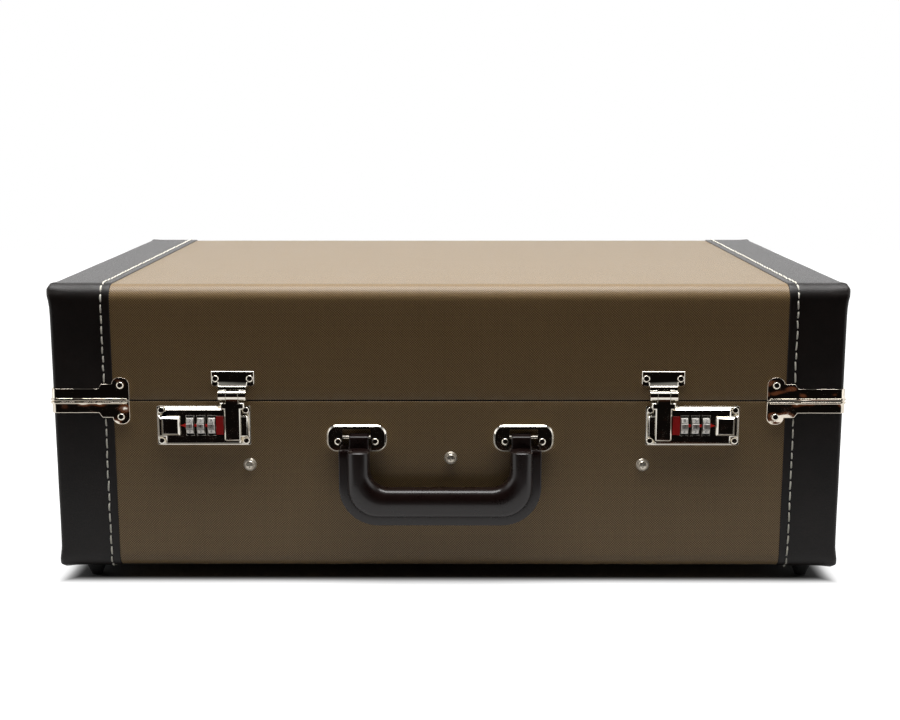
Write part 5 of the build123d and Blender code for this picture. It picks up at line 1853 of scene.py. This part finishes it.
@dataclass(frozen=True)
class Hardware:
    """Finishes of the metal, wood and rubber, and softened edges on the pressed metal.

    Places are metres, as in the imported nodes, and widths are millimetres.
    """

    finishes: Finishes
    front: float = 0.15
    end: float = 0.27
    neck_z: float = 0.146
    straight: float = 0.9
    same_place: float = 1e-6
    same_plane: float = math.radians(0.5)
    square: float = math.radians(60)
    blunt: float = math.radians(36)
    blunt_width: float = 0.06
    sides: tuple[str, ...] = ("left", "right")

    def dressed(self) -> dict[str, bpy.types.Material]:
        """Which nodes keep their own mesh, and the finish of each.

        Returns:
            Finish by node.
        """
        made, sides = self.finishes, self.sides
        nickel = ["base_bracket_rivets", "lid_bracket_rivets", "rear_base_rivets",
                  "rear_lid_rivets", "lock_rivets", "hasp_top_rivets", "handle_pins",
                  "handle_rivets", *(f"hasp_staple_{side}" for side in sides), "hasp_pins"]
        steel = ["lock_works_cases", "lock_axles", "rear_hinge_pins", "handle_core",
                 "foot_screws", *(f"slide_{part}_{side}" for part in ("bolt", "spring")
                                  for side in sides)]
        wheels = [f"dial_{number}_{side}" for number in (1, 2, 3) for side in sides]
        wood = ["base_shell", "lid_shell", "lip_frame", "front_rail"]
        groups = ((nickel, made.nickel), (steel, made.steel), (wheels, made.wheel),
                  (["lock_flags"], made.enamel), (["feet"], made.rubber),
                  (["front_screws", "front_cup_washers"], made.satin), (wood, made.wood))
        return {name: finish for names, finish in groups for name in names}

    def pressed(self) -> tuple[dict[str, float], dict[str, float]]:
        """Which nodes get soft edges, and how wide.

        Returns:
            Width by node where only the faces that look out are rolled, and elsewhere.
        """
        rolled = {"rear_base_leaves": 0.4, "rear_lid_leaves": 0.4, "hasp_top_plates": 1.1}
        eased = {"handle_plates": 0.4}
        for side in self.sides:
            rolled |= {f"base_brackets_{side}": 0.6, f"lid_brackets_{side}": 0.3}
            eased |= {f"lock_plate_{side}": 0.6, f"hasp_{side}": 0.4, f"slide_button_{side}": 0.5}
        return rolled, eased

    def build(self) -> None:
        """Gives every listed node its finish, and the pressed ones their soft edges."""
        for name, material in self.dressed().items():
            node = frame["nodes"][name]
            node.data.materials.clear()
            node.data.materials.append(material)
            LOG.info("%s: finish %s", name, material.name)
        for widths, rolled in zip(self.pressed(), (True, False)):
            for name, width in widths.items():
                self.soften(name, width, rolled)

    def outward(self, face: bmesh.types.BMFace) -> bool:
        """Whether a face looks straight out of the case's front, back or end.

        Args:
            face: The face.

        Returns:
            True if it does.
        """
        x, y = face.calc_center_median()[:2]
        ahead = face.normal.y * math.copysign(1, y) > self.straight and abs(y) > self.front
        aside = face.normal.x * math.copysign(1, x) > self.straight and abs(x) > self.end
        return ahead or aside

    def rolls(self, name: str, edge: bmesh.types.BMEdge) -> bool:
        """Whether an edge belongs to a face that looks out, and to no knuckle."""
        low = min(point.co.z for point in edge.verts)
        return (any(self.outward(face) for face in edge.link_faces)
                and (name != "hasp_top_plates" or low > self.neck_z))

    def soften(self, name: str, width: float, rolled: bool) -> None:
        """Copy of a pressed node with its doubles merged and its square edges rounded.

        Square edges get a broad rounding first. All blunter edges that are left then
        get a very narrow one, so that light runs round them.

        Args:
            name: The node.
            width: Width of the rounding on its square edges.
            rolled: Whether only edges of faces that look out are rounded, in full width.
        """
        work = bmesh.new()
        work.from_mesh(frame["nodes"][name].data)
        bmesh.ops.remove_doubles(work, verts=work.verts, dist=self.same_place)
        bmesh.ops.dissolve_limit(work, angle_limit=self.same_plane, verts=work.verts,
                                 edges=work.edges)
        broad = [edge for edge in work.edges if edge.calc_face_angle_signed(0) > self.square
                 and (not rolled or self.rolls(name, edge))]
        bmesh.ops.bevel(work, geom=broad, offset=width * MM, segments=3, profile=0.5,
                        affect="EDGES", clamp_overlap=not rolled)
        narrow = [edge for edge in work.edges if edge.calc_face_angle_signed(0) > self.blunt]
        bmesh.ops.bevel(work, geom=narrow, offset=self.blunt_width * MM, segments=1, profile=0.5,
                        affect="EDGES", clamp_overlap=False)
        bmesh.ops.triangulate(work, faces=[face for face in work.faces if len(face.verts) > 4])
        mesh = bpy.data.meshes.new(f"{name}_pressed")
        work.to_mesh(mesh)
        work.free()
        mesh.shade_smooth()
        mesh.normals_split_custom_set_from_vertices(broad_normals(mesh))
        body = next(body for body, members in frame["record"]["behaviour"]["bodies"].items()
                    if name in members)
        material = self.finishes.pressed if "bracket" in name else self.finishes.nickel
        piece = add_piece(f"{name}_pressed", mesh, material, body)
        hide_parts(name)


@dataclass(frozen=True)
class Studio:
    """Floor, light and camera."""

    eye: Point = (0.006304, -1.11802, 0.33705)
    pitch: float = math.radians(10.3463)
    yaw: float = math.radians(-0.2889)
    roll: float = math.radians(-0.0254)
    lens: float = 54.91
    film_width: float = 36.0
    clip: Pair = (0.01, 50.0)
    floor_front: float = -0.43
    floor_back: float = 2.2
    floor_half: float = 1.8
    floor_skin: Colour = (0.3, 0.3, 0.3, 1.0)
    floor_glare: float = 0.5
    shadow_half: Pair = (0.281, 0.174)
    shadow_middle_y: float = 0.00635
    shadow_edge: Pair = (-0.012, 0.009)
    room_low: Colour = linear(84, 50, 34)
    room_high: Colour = linear(12, 10, 9)
    room_edge: Pair = (-0.36, -0.25)
    sky_low: Colour = (1.38, 1.38, 1.38, 1.0)
    sky_high: Colour = (0.2, 0.2, 0.2, 1.0)
    sky_edge: Pair = (0.3, 0.8)
    soft_lean: Pair = (0.8, 0.7)
    soft_edge: Pair = (0.0, 0.58)
    mirrored_edge: Pair = (-0.75, -0.4)
    paper: Colour = (1.0, 1.0, 1.0, 1.0)
    lamp_place: Point = (0.0, -0.05, 1.5)
    lamp_size: Pair = (1.5, 1.0)
    lamp_power: float = 39.0

    def build(self) -> None:
        """Makes the studio."""
        bpy.context.scene.view_settings.view_transform = "Standard"
        self.camera()
        self.floor()
        self.world()
        self.lamp()

    def camera(self) -> None:
        """Camera at the photograph's place and angle."""
        forward = np.array([math.sin(self.yaw) * math.cos(self.pitch),
                            math.cos(self.yaw) * math.cos(self.pitch), -math.sin(self.pitch)])
        right = np.array([math.cos(self.yaw), -math.sin(self.yaw), 0.0])
        up = np.cross(right, forward)
        turned = right * math.cos(self.roll) + up * math.sin(self.roll)
        raised = up * math.cos(self.roll) - right * math.sin(self.roll)
        matrix = np.eye(4)
        matrix[:3] = np.stack([turned, raised, -forward, self.eye], axis=1)
        data = bpy.data.cameras.new("camera")
        data.lens = self.lens
        data.sensor_width = self.film_width
        data.clip_start, data.clip_end = self.clip
        camera = bpy.data.objects.new("camera", data)
        camera.matrix_world = Matrix(matrix.tolist())
        bpy.context.scene.collection.objects.link(camera)
        bpy.context.scene.camera = camera

    def floor(self) -> None:
        """White floor that keeps the shadow near the case and fades to white away from it. Its
        glow is left out in a box round the case's footprint, which paints the shadow's edge there.
        """
        material = bpy.data.materials.new("floor")
        graph = clear_tree(material)
        place = graph.add("SeparateXYZ", Vector=graph.place())
        away_x = graph.minus(graph.math("ABSOLUTE", place.outputs[0]), self.shadow_half[0])
        away_y = graph.minus(graph.math("ABSOLUTE", graph.minus(
            place.outputs[1], self.shadow_middle_y)), self.shadow_half[1])
        path = graph.add("LightPath").outputs
        seen = graph.math("MAXIMUM", path["Is Camera Ray"], graph.math(
            "MAXIMUM", path["Is Glossy Ray"], path["Is Transmission Ray"]))
        glare = graph.mix(path["Is Camera Ray"], self.floor_glare, 1.0)
        # Painted shadow: no glow in a box round the case's footprint, so the floor there stays
        # darker even where light reaches it.
        glow_beyond_painted_shadow = graph.times(graph.times(seen, glare), graph.spread(
            graph.math("MAXIMUM", away_x, away_y), *self.shadow_edge))
        glow = graph.add("Emission", Strength=glow_beyond_painted_shadow)
        skin = graph.add("BsdfDiffuse", Color=self.floor_skin)
        both = graph.work_out("AddShader", {}, (skin.outputs[0], glow.outputs[0]))
        graph.add("OutputMaterial", Surface=both)
        mesh = bpy.data.meshes.new("floor")
        half, front, back = self.floor_half, self.floor_front, self.floor_back
        mesh.from_pydata([(-half, front, 0), (half, front, 0), (half, back, 0), (-half, back, 0)],
                         [], [(0, 1, 2, 3)])
        mesh.materials.append(material)
        floor = bpy.data.objects.new("floor", mesh)
        bpy.context.scene.collection.objects.link(floor)

    def world(self) -> None:
        """White surroundings behind and above, a dark room in front, plain white to the eye.

        What the metal mirrors turns white further round to the sides than what lights
        the cloth, so that edges shine and the front stays dark.
        """
        world = bpy.data.worlds.new("studio")
        graph = clear_tree(world)
        way = graph.add("SeparateXYZ", Vector=graph.add("TexCoord").outputs["Generated"])
        _, depth, height = way.outputs
        room = graph.blend(graph.spread(height, *self.room_edge), self.room_low, self.room_high)
        sky = graph.blend(graph.spread(height, *self.sky_edge), self.sky_low, self.sky_high)
        lean = graph.plus(graph.times(depth, self.soft_lean[0]),
                          graph.times(height, self.soft_lean[1]))
        path = graph.add("LightPath").outputs
        open_air = graph.mix(path["Is Glossy Ray"], graph.spread(lean, *self.soft_edge),
                             graph.spread(depth, *self.mirrored_edge))
        colour = graph.blend(path["Is Camera Ray"], graph.blend(open_air, room, sky), self.paper)
        surround = graph.add("Background", Color=colour, Strength=1.0)
        graph.add("OutputWorld", Surface=surround.outputs[0])
        bpy.context.scene.world = world

    def lamp(self) -> None:
        """Soft rectangular lamp that hangs over the case and looks straight down."""
        data = bpy.data.lights.new("overhead", "AREA")
        data.shape = "RECTANGLE"
        data.size, data.size_y = self.lamp_size
        data.energy = self.lamp_power
        lamp = bpy.data.objects.new("overhead", data)
        lamp.matrix_world = Matrix.Translation(self.lamp_place)
        bpy.context.scene.collection.objects.link(lamp)


def main() -> None:
    """Builds the case piece by piece and sets it in the studio."""
    logging.basicConfig(level=logging.INFO, format="%(name)s: %(message)s")
    finishes = Finishes()
    Studio().build()
    for assembly in (Hardware, Coverings, Inside, Grip, LockMarks):
        assembly(finishes).build()


if __name__ == "__main__":
    main()
